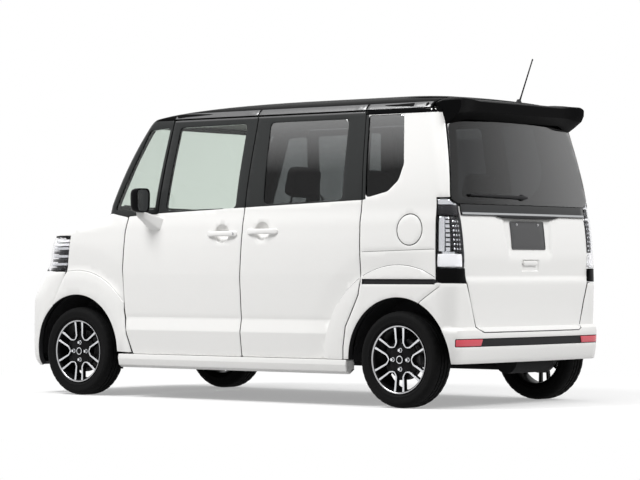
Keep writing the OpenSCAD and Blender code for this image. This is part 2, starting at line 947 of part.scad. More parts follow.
module strut_tower() {
    tower = tower_top - tower_low;
    translate([front_axle_x, strut_y, tower_low]) difference() {
        cylinder(r = tower_radius, h = tower);
        translate([0, 0, -1]) cylinder(r = tower_radius - liner_sheet, h = tower - tower_roof + 1);
    }
}

module floor_pan() {
    side_reach = sill_inside * k_y;
    rear_half = 600;
    bulkhead_top = 1040 * k_z;
    color("dimgray") {
        difference() {
            union() {
                translate([rear_step, -side_reach, floor_bottom])
                    cube([bulkhead - rear_step, 2 * side_reach, floor_sheet]);
                translate([rear_step - floor_sheet, -rear_half, floor_bottom])
                    cube([floor_sheet, 2 * rear_half, load_floor - floor_bottom]);
                translate([load_floor_end, -rear_half, load_floor - floor_sheet])
                    cube([rear_step - load_floor_end, 2 * rear_half, floor_sheet]);
                translate([bulkhead - floor_sheet, -side_reach, floor_bottom])
                    cube([floor_sheet, 2 * side_reach, bulkhead_top - floor_bottom]);
                both_sides() translate([bulkhead - floor_sheet, rail_inside, rail_bottom])
                    cube([1560 * k_x - bulkhead, rail_outside - rail_inside, rail_top - rail_bottom]);
            }
            both_sides() arch(front_axle_x, arch_radius + liner_gap + 1, liner_inside);
            both_sides() arch(rear_axle_x, arch_radius + liner_gap + 1, rear_liner_inside);
        }
        both_sides() {
            difference() {
                wheel_liner(front_axle_x, liner_inside);
                translate([front_axle_x, strut_y, 0]) cylinder(r = tower_radius - 1, h = reach);
            }
            difference() {
                strut_tower();
                arch(front_axle_x, arch_radius + liner_gap, 300);
            }
            difference() {
                wheel_liner(rear_axle_x, rear_liner_inside);
                translate([rear_axle_x - 60, 0, 0]) cube([120, liner_outside - 60, axle_height + 120]);
            }
        }
    }
}

module dashboard() {
    half = 640;
    profile = [[812, 620], [812, 1036], [760, 1030], [600, 975], [560, 920],
               [590, 800], [640, 640]];
    color("dimgray") difference() {
        translate([0, half * k_y, 0]) rotate([90, 0, 0]) linear_extrude(2 * half * k_y)
            polygon([for (p = profile) [p.x * k_x, p.y * k_z]]);
        translate(steering_place) rotate([0, steering_tilt, 0]) translate([0, 0, -320])
            cylinder(r = shaft_radius + running_fit, h = 400);
    }
}

module steering_wheel() {
    rim = 14;
    spoke = [steering_radius, 32, 14];
    hub_radius = 62;
    hub = 44;
    color("black") translate(steering_place) rotate([0, steering_tilt, 0]) {
        rotate_extrude() translate([steering_radius, 0]) circle(rim, $fn = 24);
        translate([0, 0, 14 - hub]) cylinder(r = hub_radius, h = hub);
        for (a = [0, 90, 180]) rotate(a) translate([0, -spoke.y / 2, -10]) cube(spoke);
        translate([0, 0, -shaft_length]) cylinder(r = shaft_radius, h = shaft_length);
    }
}

// A seat seen from the side: cushion, back and headrest, each a rounded slab.
module seat_slab(x, z, run, rise, tilt, wide) {
    edge = 40;
    translate([x, 0, z]) rotate([0, tilt, 0]) translate([0, wide / 2, 0]) rotate([90, 0, 0])
        linear_extrude(wide) translate([edge, edge]) offset(r = edge, $fn = 24)
            square([run - 2 * edge, rise - 2 * edge]);
}

module front_seats() {
    base = [400, 360, 240];
    lean = -14;
    color("dimgray") both_sides() translate([0, seat_middle * k_y, floor_height]) {
        translate([-60, -base.y / 2, 0]) cube(base);
        seat_slab(-120, 190, 500, 140, -4, seat_width);
        seat_slab(-140, 270, 130, 620, lean, seat_width);
        seat_slab(-305, 910, 100, 190, lean, 250);
        for (y = [-70, 70]) translate([-230, y, 820]) rotate([0, lean, 0])
            cylinder(r = post, h = post_length);
    }
}

module rear_seat() {
    wide = 1080 * k_y;
    base = [240, wide, 80];
    lean = -16;
    color("dimgray") translate([-930 * k_x, 0, load_floor]) {
        translate([30, -wide / 2, 0]) cube(base);
        seat_slab(0, 30, 470, 130, -3, wide);
        seat_slab(-10, 90, 120, 560, lean, wide);
        for (y = [-300, 300]) translate([0, y * k_y, 0]) {
            seat_slab(-175, 660, 90, 160, lean, 240);
            for (dy = [-60, 60]) translate([-120, dy, 560]) rotate([0, lean, 0])
                cylinder(r = post, h = post_length);
        }
    }
}

module engine_block() {
    low = 240 * k_z;
    block = [330, 640, 420 * k_z];
    head = [260, 420, 190 * k_z];
    pulley = [90, 60];
    color("gray") translate([front_axle_x - 166, 0, low]) {
        translate([0, -block.y / 2, 0]) cube(block);
        translate([30, -250, block.z]) cube(head);
        translate([140, 339, 180 * k_z]) rotate([90, 0, 0]) cylinder(r = pulley[0], h = pulley[1]);
    }
}

module fuel_tank() {
    low = 270;
    size = [270, 760, under_load_floor - low];
    color("dimgray") translate([-960 * k_x, -size.y / 2, low]) cube(size);
}

module exhaust() {
    pipe = 21;
    pipe_y = -230;
    pipe_z = 205;
    rear = -1450 * k_x;
    front = 950 * k_x;
    box_radius = 75;
    box_length = 360;
    box_z = pipe_z + 40;
    hanger = 20;
    color("silver") {
        translate([rear, pipe_y, pipe_z]) rotate([0, 90, 0]) cylinder(r = pipe, h = front - rear);
        translate([rear + 10, -80, box_z]) rotate([90, 0, 0]) cylinder(r = box_radius, h = box_length);
        for (x = [-500, 300]) translate([x * k_x, pipe_y - hanger / 2, pipe_z])
            cube([hanger, hanger, floor_bottom - pipe_z]);
        translate([rear, pipe_y - hanger / 2, box_z]) cube([hanger, hanger, under_load_floor - box_z]);
    }
}

// Lower arms, cross member and struts, fixed at ride height.
module front_suspension() {
    cross = [180, 2 * rail_outside, 50];
    cross_bottom = 190;
    cross_top = cross_bottom + cross.z;
    hanger = [100, 30, rail_bottom - cross_top];
    arm = [60, kingpin_y - rail_inside, arm_thick];
    pivot = [60, 40, 60];
    foot = [40, kingpin_y - strut_y, foot_thick];
    spring_seat = axle_height + 290;
    color("dimgray") translate([front_axle_x, 0, 0]) {
        translate([-cross.x / 2, -rail_outside, cross_bottom]) cube(cross);
        both_sides() {
            translate([-hanger.x / 2, rail_inside, cross_top]) cube(hanger);
            translate([-arm.x / 2, rail_inside, arm_bottom]) cube(arm);
            translate([-pivot.x / 2, rail_inside, arm_bottom]) cube(pivot);
            translate([-foot.x / 2, strut_y, foot_bottom]) cube(foot);
            translate([0, kingpin_y, 0]) {
                translate([0, 0, arm_bottom]) cylinder(r = arm_thick, h = arm_thick);
                translate([0, 0, arm_bottom]) cylinder(r = kingpin_radius, h = foot_top - arm_bottom);
                translate([0, 0, foot_bottom]) cylinder(r = foot.x / 2, h = foot_thick);
            }
            translate([0, strut_y, foot_bottom])
                cylinder(r = strut_radius, h = tower_top - tower_roof - foot_bottom);
            translate([0, strut_y, spring_seat]) cylinder(r = tower_radius - 14, h = 10);
        }
    }
}

// The knuckle turns on the kingpin; its spindle carries the wheel.
module knuckle(side) {
    boss_low = arm_top + 6;
    boss_high = foot_bottom - 6;
    boss = boss_high - boss_low;
    boss_wall = 13;
    caliper = [22, 34, 120];
    caliper_x = 92;
    bracket = [120, 12, 40];
    color("gray") on_side(side) translate([front_axle_x, kingpin_y, 0]) difference() {
        union() {
            translate([0, 0, boss_low]) cylinder(r = kingpin_radius + boss_wall, h = boss);
            translate([0, 0, axle_height]) rotate([-90, 0, 0]) {
                cylinder(r = 2 * spindle_radius, h = hub_inside - kingpin_y - 1);
                cylinder(r = spindle_radius, h = spindle_end - kingpin_y);
            }
            translate([-20, 10, axle_height - bracket.z / 2]) cube(bracket);
            translate([caliper_x, 10, axle_height - caliper.z / 2]) cube(caliper);
        }
        translate([0, 0, boss_low - 1]) cylinder(r = kingpin_radius + running_fit, h = boss + 2);
    }
}

// A trailing-arm beam that carries both rear wheels.
module rear_axle() {
    arm_y = 420;
    arm_front = -720;
    beam_radius = 32;
    spring_radius = 45;
    arm_low = beam_height - 30;
    arm = [arm_front - rear_axle_x + 40, 40, 50];
    pivot = [60, 60, under_load_floor - arm_low];
    color("dimgray") {
        translate([rear_axle_x, arm_y + arm.y / 2, beam_height]) rotate([90, 0, 0])
            cylinder(r = beam_radius, h = 2 * arm_y + arm.y);
        both_sides() {
            translate([rear_axle_x - 20, arm_y - arm.y / 2, arm_low]) cube(arm);
            translate([arm_front - 20, arm_y - pivot.y / 2, arm_low]) cube(pivot);
            translate([rear_axle_x + 60, arm_y, beam_height])
                cylinder(r = spring_radius, h = under_load_floor - beam_height);
            translate([rear_axle_x, arm_y, axle_height]) rotate([-90, 0, 0]) {
                cylinder(r = 30, h = hub_inside - arm_y - 1);
                cylinder(r = spindle_radius, h = spindle_end - arm_y);
            }
        }
    }
}

// Wheels, drawn about Z with the outer face up, then laid over.
module wheel_place(x, side) {
    translate([x, side * half_track, axle_height]) rotate([-90 * side, 0, 0]) children();
}

module tyre(x, side) {
    half = tyre_width / 2;
    // One side of the section, from the bead out to the tread's edge.
    lip = rim_radius + bead_slack;
    side_wall_line = [[barrel + bead_slack, bead], [lip, bead], [lip + flange, bead + flange],
                      [tyre_radius - 40, half], [tyre_radius - 12, half - 10], [tyre_radius, half - 26]];
    last = len(side_wall_line) - 1;
    profile = concat(side_wall_line, [for (i = [last:-1:0]) [side_wall_line[i].x, -side_wall_line[i].y]]);
    color("black") wheel_place(x, side) rotate_extrude() polygon(profile);
}

module spoke_pair() {
    root = 40;
    tip = barrel - 4;
    for (s = [1, -1]) polygon([[root, s * 14], [root, s * 30], [tip, s * 36], [tip, s * 20]]);
}

module rim(x, side, drum) {
    half = rim_half;
    inner = barrel - 12;
    profile = [[inner, -half], [rim_radius, -half], [rim_radius, -bead], [barrel, -bead],
               [barrel, bead], [rim_radius, bead], [rim_radius, half], [inner, half]];
    bolt_circle = 52;
    bolts = 4;
    spokes = 6;
    spoke_low = half - 34;
    spoke_depth = 26;
    hub_radius = 66;
    hub_low = hub_inside - half_track;
    color("dimgray") wheel_place(x, side) difference() {
        union() {
            rotate_extrude() polygon(profile);
            translate([0, 0, spoke_low]) linear_extrude(spoke_depth)
                for (i = [0:spokes - 1]) rotate(90 + 360 / spokes * i) spoke_pair();
            translate([0, 0, hub_low]) cylinder(r = hub_radius, h = half - 10 - hub_low);
            if (drum) translate([0, 0, hub_low]) cylinder(r = 112, h = 34);
            else translate([0, 0, hub_low + 4]) cylinder(r = 125, h = 20);
        }
        translate([0, 0, hub_low - 1])
            cylinder(r = spindle_radius + running_fit, h = spindle_end - hub_inside + 3);
        for (i = [0:bolts - 1]) rotate(360 / bolts * i) translate([bolt_circle, 0, half - 20])
            cylinder(r = 9, h = 30);
    }
}

floor_pan();
roof();
a_pillars();
b_pillars();
quarter_panel(1);  // quarter_panel_left
quarter_panel(-1);  // quarter_panel_right
windscreen();
color("lightgray") both_sides() pane(FRONT_PANE);  // front_quarter_glass
color("black") both_sides() pane(REAR_PANE);  // rear_quarter_glass
sliding_door(1);  // sliding_door_left
sliding_door(-1);  // sliding_door_right
color("black") both_sides() pane(SLIDING_WINDOW);  // sliding_door_glass
sliding_door_handles();
fenders();
cowl();
front_bumper();
grille();
headlamps();
rear_bumper();
tail_lamps();
side_sills();
dashboard();
front_seats();
rear_seat();
engine_block();
fuel_tank();
exhaust();
front_suspension();
rear_axle();
antenna();
front_wipers();
front_door(1);  // front_door_left
color("lightgray") pane(FRONT_WINDOW);  // front_door_glass_left
mirror_unit(1);  // mirror_left
door_handle(1);  // door_handle_left
front_door(-1);  // front_door_right
color("lightgray") on_side(-1) pane(FRONT_WINDOW);  // front_door_glass_right
mirror_unit(-1);  // mirror_right
door_handle(-1);  // door_handle_right
bonnet();
tailgate();
tailgate_glass();
spoiler();
garnish();
plate_holder();
rear_wiper();
fuel_lid();
knuckle(1);  // knuckle_left
knuckle(-1);  // knuckle_right
steering_wheel();
tyre(front_axle_x, 1);  // tyre_front_left
tyre(front_axle_x, -1);  // tyre_front_right
tyre(rear_axle_x, 1);  // tyre_rear_left
tyre(rear_axle_x, -1);  // tyre_rear_right
rim(front_axle_x, 1, false);  // rim_front_left
rim(front_axle_x, -1, false);  // rim_front_right
rim(rear_axle_x, 1, true);  // rim_rear_left
rim(rear_axle_x, -1, true);  // rim_rear_right
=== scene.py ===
"""Looks of a tall two-tone kei car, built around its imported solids.

Lengths are in millimetres until a mesh is made, and the frame is the part's own: X forward,
Y to the car's left, Z up, with the origin on the ground below the middle of the body.
"""
import math

import bmesh
import bpy
import numpy as np
from mathutils import Matrix, Vector
from mathutils.geometry import delaunay_2d_cdt


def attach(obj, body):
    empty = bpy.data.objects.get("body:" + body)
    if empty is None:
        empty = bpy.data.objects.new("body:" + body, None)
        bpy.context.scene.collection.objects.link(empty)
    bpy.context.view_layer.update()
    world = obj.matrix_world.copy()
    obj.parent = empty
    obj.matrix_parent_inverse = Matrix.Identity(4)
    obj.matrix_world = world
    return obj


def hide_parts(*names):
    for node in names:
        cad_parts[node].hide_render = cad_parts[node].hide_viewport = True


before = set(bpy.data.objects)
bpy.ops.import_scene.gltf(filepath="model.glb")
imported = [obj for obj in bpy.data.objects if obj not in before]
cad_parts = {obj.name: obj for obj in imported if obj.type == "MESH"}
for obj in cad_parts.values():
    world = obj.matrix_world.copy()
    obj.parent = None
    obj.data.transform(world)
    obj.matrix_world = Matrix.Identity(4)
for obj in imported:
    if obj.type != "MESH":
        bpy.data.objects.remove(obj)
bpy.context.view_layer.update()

MM = 0.001
LENGTH = 3395.0
HALF_WIDTH = 737.5
SIDE_BOW = 14.0
FRONT_AXLE = 1176.0
REAR_AXLE = -1284.0
AXLE_HEIGHT = 266.0
HALF_TRACK = 648.0
ARCH_RADIUS = 342.0
GAP = 6.0
ROOF_SPLIT = 1646.0
DOOR_TOP = ROOF_SPLIT - GAP / 2

# The camera fitted to the photo, the floor and the light around the car, in metres.
CAMERA_PLACE = (-10.00192, 11.97864, 0.75091)
CAMERA_YAW, CAMERA_PITCH = -0.882, 0.012
FOCAL_PIXELS, PHOTO_PIXELS, SENSOR = 2600, 640, 36.0
FILL_LIGHT = 0.41
WHITE = (1, 1, 1, 1)
FLOOR_REACH, FLOOR_PALE, FLOOR_DIM = 60.0, (0.92, 0.92, 0.92, 1), (0.34, 0.34, 0.34, 1)
# Distances from the middle between which the floor turns white, and the share of white at both.
FLOOR_FADE = (1.6, 4.2, 0.35, 1.0)
# Name, place, aim, size and power of each soft lamp.
LAMPS = [("overhead", (-0.6, 0.4, 6.5), (0, 0, 0), 5.0, 90),
         ("left_soft", (1.7, 5.0, 7.4), (0, 0.3, 0.7), 3.0, 640),
         ("rear_soft", (-7.0, -0.5, 6.0), (-1, 0, 0.9), 3.0, 410),
         ("front_soft", (7.5, -3.0, 4.0), (0, 0, 0.8), 4.5, 48)]

# The body's plan outline at rising heights. Columns: height, front, rear, half width,
# front bow, front corner length and width, rear bow, rear corner length and width.
LEVELS = np.array([
    [170, 1652, -1640, 712, 70, 170, 150, 25, 100, 90],
    [215, 1682, -1668, 728, 75, 174, 152, 28, 100, 95],
    [300, 1693, -1690, 734, 78, 182, 158, 30, 100, 95],
    [380, 1697.2, -1697.2, 736, 80, 195, 170, 32, 100, 95],
    [428, 1697, -1694, 737, 80, 195, 170, 32, 100, 95],
    [446, 1696, -1672, 737, 80, 195, 170, 32, 100, 95],
    [560, 1693, -1675, 737.5, 80, 195, 170, 32, 100, 95],
    [700, 1656, -1678, 737.5, 104, 245, 202, 32, 100, 95],
    [800, 1618, -1676, 737, 138, 285, 232, 33, 100, 95],
    [900, 1604, -1670, 734.5, 142, 294, 236, 34, 95, 90],
    [960, 1580, -1664, 731.5, 144, 300, 234, 34, 90, 85],
    [990, 1562, -1660, 730, 142, 303, 220, 34, 88, 82],
    [1015, 1515, -1657, 729, 162, 338, 205, 35, 85, 80],
    [1032, 1430, -1654, 727, 196, 378, 176, 35, 82, 76],
    [1048, 1320, -1650, 725, 190, 330, 120, 35, 80, 74],
    [1066, 1150, -1646, 722, 180, 200, 90, 36, 78, 72],
    [1086, 1020, -1642, 719, 95, 60, 50, 36, 76, 70],
    [1150, 993, -1636, 715, 88, 50, 45, 37, 74, 68],
    [1620, 738, -1541, 640, 80, 50, 48, 38, 74, 68],
    [1650, 712, -1533, 634, 85, 60, 60, 38, 80, 75],
    [1672, 640, -1524, 622, 110, 120, 90, 38, 90, 85],
    [1690, 540, -1510, 598, 130, 200, 120, 38, 100, 100],
    [1705, 420, -1485, 560, 150, 260, 150, 45, 130, 130],
    [1718, 290, -1440, 500, 160, 300, 180, 60, 170, 150],
    [1730, 110, -1360, 420, 170, 320, 200, 80, 200, 170],
    [1740, -120, -1230, 310, 150, 300, 180, 90, 200, 150],
    [1746, -420, -1030, 170, 100, 200, 110, 60, 150, 90],
], dtype=float)
LEVEL_Z = LEVELS[:, 0]
TOP_Z = LEVEL_Z[-1]


def column_slopes(x, y):
    """Slopes for a cubic through the rows that never overshoots them."""
    step = np.diff(x)
    rise = np.diff(y, axis=0) / step[:, None]
    near = (2 * step[1:] + step[:-1])[:, None]
    far = (step[1:] + 2 * step[:-1])[:, None]
    slopes = np.zeros_like(y)
    same = rise[:-1] * rise[1:] > 0
    safe = [np.where(same, part, 1.0) for part in (rise[:-1], rise[1:])]
    slopes[1:-1] = np.where(same, (near + far) / (near / safe[0] + far / safe[1]), 0.0)
    slopes[0], slopes[-1] = rise[0], rise[-1]
    return slopes


LEVEL_SLOPES = column_slopes(LEVEL_Z, LEVELS[:, 1:])


def level(z):
    """The plan outline's nine columns at any heights."""
    z = np.clip(np.asarray(z, float), LEVEL_Z[0], TOP_Z)
    i = np.clip(np.searchsorted(LEVEL_Z, z, "right") - 1, 0, len(LEVEL_Z) - 2)
    run = LEVEL_Z[i + 1] - LEVEL_Z[i]
    t = ((z - LEVEL_Z[i]) / run)[..., None]
    run = run[..., None]
    low, high = LEVELS[i, 1:], LEVELS[i + 1, 1:]
    value = (low * (1 + 2 * t) * (1 - t) ** 2 + high * t * t * (3 - 2 * t)
             + run * (LEVEL_SLOPES[i] * t * (1 - t) ** 2 + LEVEL_SLOPES[i + 1] * t * t * (t - 1)))
    return np.moveaxis(value, -1, 0)


def corners(z):
    """Where the flat front, the flat side and the flat rear of the outline meet its corners."""
    front, rear, half, f_bow, f_run, f_turn, r_bow, r_run, r_turn = level(z)
    y_front = half - f_turn
    x_front = front - f_bow * (y_front / half) ** 2 - f_run
    y_rear = half - r_turn
    x_rear = rear + r_bow * (y_rear / half) ** 2 + r_run
    return y_front, x_front, y_rear, x_rear


def drawn_in(x, z):
    """The share of the half width left where the sides draw in towards the bumpers."""
    return 1 - SIDE_BOW * (2 * x / LENGTH) ** 2 / level(z)[2]


def half_width(x, z):
    """Half the width of the plain skin at a place along the car, below zero outside the body."""
    x, z = np.broadcast_arrays(np.asarray(x, float), np.asarray(z, float))
    front, rear, half, f_bow, f_run, f_turn, r_bow, r_run, r_turn = level(z)
    y_front, x_front, y_rear, x_rear = corners(z)
    ahead = np.clip((x - x_front) / f_run, 0, 1)
    behind = np.clip((x_rear - x) / r_run, 0, 1)
    w = np.where(x > x_front, y_front + f_turn * np.sqrt(1 - ahead ** 2), half)
    w = np.where(x < x_rear, y_rear + r_turn * np.sqrt(1 - behind ** 2), w)
    w = np.where(x > x_front + f_run, half * np.sqrt(np.clip((front - x) / f_bow, 0, None)), w)
    w = np.where(x < x_rear - r_run, half * np.sqrt(np.clip((x - rear) / r_bow, 0, None)), w)
    w = w * drawn_in(x, z)
    outside = np.maximum(np.maximum(x - front, rear - x), z - TOP_Z)
    return np.where(outside > 0, -outside, w)


def ramp(low, high, v):
    """From zero at low to one at high."""
    return np.clip((v - low) / (high - low), 0, 1)


def ease(low, high, v):
    """Like ramp, with soft ends."""
    t = ramp(low, high, v)
    return t * t * (3 - 2 * t)


def pairs(a, b):
    """Points of two coordinates. Either may be one number for all."""
    return np.stack(np.broadcast_arrays(np.asarray(a, float), np.asarray(b, float)), 1)


# Lines pressed into the lower side, and the flares around the wheels.
DOOR_EDGE = ([262, 380, 521, 760, 987, 1082], [716, 757, 782, 789, 770, 746])
# Height, and how far the side stands out there.
SIDE_LINES = ([250, 402, 480, 486, 735, 930], [-14, -1, -18, -16, -4, 0])
REAR_FLARE = (560, 524, 521, 518, 515, 495, 470)
FRONT_FLARE = (504, 494, 488, 484, 465, 446)
FRONT_DROP = ([446, 484, 485, 488, 489, 500, 640], [0, -5, -11, -11, -8, -8, 0])
REAR_DROP = ([470, 516, 517.5, 521, 522.5, 640], [0, -4, -9, -9, -7, 0])
# Place, radius and depth of the cups behind the handles.
CUPS = [(-6, 967, 56, 27), (-311, 978, 56, 27)]


def side_relief(x, z):
    """How far the pressed lines, the flares and the handle cups stand out of the plain skin.

    Below zero is inward."""
    from_front = np.hypot(x - FRONT_AXLE, z - AXLE_HEIGHT)
    from_rear = np.hypot(x - REAR_AXLE, z - AXLE_HEIGHT)
    ahead = x - np.interp(z, *DOOR_EDGE)
    front = ramp(500, 496, from_front) * ease(0, 60, ahead)
    flare = np.maximum(front, ramp(524, 518, from_rear))
    ends = ramp(1560, 1380, np.abs(x))
    relief = np.interp(z, *SIDE_LINES) * (1 - flare) * ends
    # Each flare has a drop, a fine groove and a rounded rise.
    relief = relief + np.interp(from_front, *FRONT_DROP) * (ahead > 0) * ramp(1330, 1270, x)
    relief = relief + np.interp(from_rear, *REAR_DROP) * ends * ramp(900, 780, z)
    for cup_x, cup_z, radius, depth in CUPS:
        r = np.hypot(x - cup_x, z - cup_z) / radius
        relief = relief - depth * np.clip(1 - r ** 2.4, 0, 1)
    return relief


# Domains: flat sheets that outlines are drawn on, each laid on the body's skin.
class Side:
    """The left side by [x, z], carried on round both corners."""
    turn = {"front": 150.0, "rear": 82.0}

    def surface(self, uv):
        u, z = np.asarray(uv, float).T
        front, rear, half, f_bow, f_run, f_turn, r_bow, r_run, r_turn = level(z)
        y_front, x_front, y_rear, x_rear = corners(z)
        x, y = u.copy(), half.copy()
        for name, edge, y_edge, run, turn, end, bow, sign in (
                ("front", x_front, y_front, f_run, f_turn, front, f_bow, 1),
                ("rear", x_rear, y_rear, r_run, r_turn, rear, r_bow, -1)):
            past = sign * (u - edge)
            angle = np.clip(past / self.turn[name], 0, math.pi / 2)
            x = np.where(past > 0, edge + sign * run * np.sin(angle), x)
            y = np.where(past > 0, y_edge + turn * np.cos(angle), y)
            more = past - self.turn[name] * math.pi / 2
            y_flat = y_edge - more
            x = np.where(more > 0, end - sign * bow * (y_flat / half) ** 2, x)
            y = np.where(more > 0, y_flat, y)
        return np.stack([x, y * drawn_in(x, z) + side_relief(x, z), z], 1)

    def plane(self, points):
        x, y, z = np.asarray(points, float).T
        front, rear, half, f_bow, f_run, f_turn, r_bow, r_run, r_turn = level(z)
        y_front, x_front, y_rear, x_rear = corners(z)
        plain = y / drawn_in(x, z)
        u = x.copy()
        for name, edge, y_edge, run, sign in (("front", x_front, y_front, f_run, 1),
                                              ("rear", x_rear, y_rear, r_run, -1)):
            past = sign * (x - edge)
            angle = np.arcsin(np.clip(past / run, 0, 1))
            u = np.where(past > 0, edge + sign * self.turn[name] * angle, u)
            flat = (past > 0) & (plain < y_edge)
            u = np.where(flat, edge + sign * (self.turn[name] * math.pi / 2 + y_edge - plain), u)
        return pairs(u, z)


class End:
    """The front or the rear by [distance from the middle, z], carried on round the corners."""

    def __init__(self, front):
        self.front = front
        self.turn = 180.0 if front else 92.0

    def columns(self, z):
        front, rear, half, f_bow, f_run, f_turn, r_bow, r_run, r_turn = level(z)
        y_front, x_front, y_rear, x_rear = corners(z)
        if self.front:
            return front, half, f_bow, f_run, f_turn, y_front, x_front, 1
        return rear, half, r_bow, r_run, r_turn, y_rear, x_rear, -1

    def surface(self, uv):
        s, z = np.asarray(uv, float).T
        end, half, bow, run, turn, y_edge, x_edge, sign = self.columns(z)
        across = np.abs(s)
        y = across.copy()
        x = end - sign * bow * (y / half) ** 2
        past = across - y_edge
        angle = np.clip(past / self.turn, 0, math.pi / 2)
        x = np.where(past > 0, x_edge + sign * run * np.cos(angle), x)
        y = np.where(past > 0, y_edge + turn * np.sin(angle), y)
        more = past - self.turn * math.pi / 2
        x = np.where(more > 0, x_edge - sign * more, x)
        y = np.where(more > 0, half, y)
        return np.stack([x, y * drawn_in(x, z) * np.sign(s), z], 1)

    def plane(self, points):
        x, y, z = np.asarray(points, float).T
        end, half, bow, run, turn, y_edge, x_edge, sign = self.columns(z)
        plain = np.abs(y) / drawn_in(x, z)
        angle = np.arcsin(np.clip((plain - y_edge) / turn, 0, 1))
        s = np.where(plain > y_edge, y_edge + self.turn * angle, plain)
        back = sign * (x_edge - x)
        s = np.where(back > 0, y_edge + self.turn * math.pi / 2 + back, s)
        return pairs(s * np.sign(y), z)


def farthest(near, far, is_inside):
    """How far from near towards far the inside of the body goes, found by halving."""
    for _ in range(36):
        mid = (near + far) / 2
        good = is_inside(mid)
        near, far = np.where(good, mid, near), np.where(good, far, mid)
    return near


class Round:
    """A stretch along the car by [x, turn], seen from a line inside the body."""

    def __init__(self, y, z, radius):
        self.y, self.z, self.radius = y, z, radius

    def surface(self, uv):
        x, w = np.asarray(uv, float).T
        along_y, along_z = np.cos(w / self.radius), np.sin(w / self.radius)
        reach = farthest(np.zeros_like(x), np.full_like(x, 900.0),
                         lambda r: self.y + r * along_y <= half_width(x, self.z + r * along_z))
        y, z = self.y + reach * along_y, self.z + reach * along_z
        return np.stack([x, y + side_relief(x, z) * np.clip(along_y, 0, 1), z], 1)

    def plane(self, points):
        x, y, z = np.asarray(points, float).T
        return pairs(x, self.radius * np.arctan2(z - self.z, y - self.y))


class Top:
    """The skin from above by [x, y]."""

    def __init__(self, low):
        self.low = low

    def surface(self, uv):
        x, y = np.asarray(uv, float).T
        height = farthest(np.full_like(x, self.low), np.full_like(x, TOP_Z),
                          lambda z: np.abs(y) <= half_width(x, z))
        return np.stack([x, y, height], 1)

    def plane(self, points):
        return np.asarray(points, float)[:, :2]


SIDE, FRONT, REAR = Side(), End(True), End(False)
FENDER_ROUND, HOOD = Round(430, 850, 300), Top(880)


def on_side(points):
    """Side outline points [x, z] as points on the plain skin."""
    x, z = np.asarray(points, float).T
    return np.stack([x, half_width(x, z), z], 1)


# Outlines.
def rectangle(x0, x1, z0, z1):
    return [[x0, z0], [x1, z0], [x1, z1], [x0, z1]]


def cross(a, b):
    return a[..., 0] * b[..., 1] - a[..., 1] * b[..., 0]


def left_turning(points):
    """An outline in the order that has its inside on the left."""
    points = np.asarray(points, float)
    area = cross(points, np.roll(points, -1, 0)).sum()
    return points if area > 0 else points[::-1]


def grow(points, by):
    """An outline moved out by this much."""
    points = left_turning(points)
    edge = np.roll(points, -1, 0) - points
    out = pairs(edge[:, 1], -edge[:, 0]) / np.linalg.norm(edge, axis=1)[:, None]
    before = np.roll(out, 1, 0)
    middle = before + out
    return points + by * middle / np.maximum((middle * out).sum(1), 0.3)[:, None]


def fillet(points, radius):
    """An outline with rounded corners. A radius for each corner may be given."""
    points = np.asarray(points, float)
    radii = np.broadcast_to(radius, len(points))
    result = []
    for i, corner in enumerate(points):
        back, ahead = points[i - 1] - corner, points[(i + 1) % len(points)] - corner
        lengths = np.linalg.norm(back), np.linalg.norm(ahead)
        back, ahead = back / lengths[0], ahead / lengths[1]
        angle = math.acos(np.clip(back @ ahead, -1, 1))
        if radii[i] <= 0 or angle > 3.05:
            result.append(corner)
            continue
        cut = min(radii[i] / math.tan(angle / 2), 0.46 * min(lengths))
        for t in np.linspace(0, 1, 3 + int((math.pi - angle) / 0.25)):
            blend = (1 - t) ** 2 * back + t ** 2 * ahead
            result.append(corner + cut * blend)
    return np.array(result)


def resample(points, step, closed=True):
    """The same line with points no further apart than this step."""
    points = np.asarray(points, float)
    ends = np.roll(points, -1, 0) if closed else points[1:]
    result = []
    for a, b in zip(points, ends):
        count = max(1, int(np.ceil(np.linalg.norm(b - a) / step)))
        result.extend(a + (b - a) * i / count for i in range(count))
    if not closed:
        result.append(points[-1])
    return np.array(result)


def inside(points, loop):
    """Which points lie inside a loop."""
    x, y = points[:, None, 0], points[:, None, 1]
    a, b = loop, np.roll(loop, -1, 0)
    spans = (a[:, 1] > y) != (b[:, 1] > y)
    with np.errstate(divide="ignore", invalid="ignore"):
        at = a[:, 0] + (y - a[:, 1]) * (b[:, 0] - a[:, 0]) / (b[:, 1] - a[:, 1])
    return (spans & (x < at)).sum(1) % 2 == 1


def within(points, loops):
    """Which points lie inside the first loop and outside the others."""
    keep = inside(points, loops[0])
    for hole in loops[1:]:
        keep &= ~inside(points, hole)
    return keep


def distance(points, others):
    """From each point to the nearest of the others."""
    return np.linalg.norm(points[:, None] - others[None], axis=2).min(1)


def clip_outline(points, side_of):
    """The part of an outline where side_of, a function of its points, is above zero."""
    points = np.asarray(points, float)
    values = side_of(points)
    result = []
    for i, (p, v) in enumerate(zip(points, values)):
        q, w = points[(i + 1) % len(points)], values[(i + 1) % len(points)]
        if v >= 0:
            result.append(p)
        if (v >= 0) != (w >= 0):
            result.append(p + (q - p) * v / (v - w))
    kept = result[:1]
    for p in result[1:]:
        if np.linalg.norm(p - kept[-1]) > 0.5:
            kept.append(p)
    if len(kept) > 1 and np.linalg.norm(kept[0] - kept[-1]) < 0.5:
        kept.pop()
    return np.array(kept)


def band(points, low, high):
    """The part of an outline between two heights."""
    above = clip_outline(points, lambda p: p[:, 1] - low)
    return clip_outline(above, lambda p: high - p[:, 1]) if len(above) else above


def circle(x, y, radius, count=40, start=0.0, stop=360.0):
    """Points round a circle, or along an arc of it in degrees."""
    closed = stop - start >= 360
    angles = np.radians(np.linspace(start, stop, count, endpoint=not closed))
    return pairs(x + radius * np.cos(angles), y + radius * np.sin(angles))


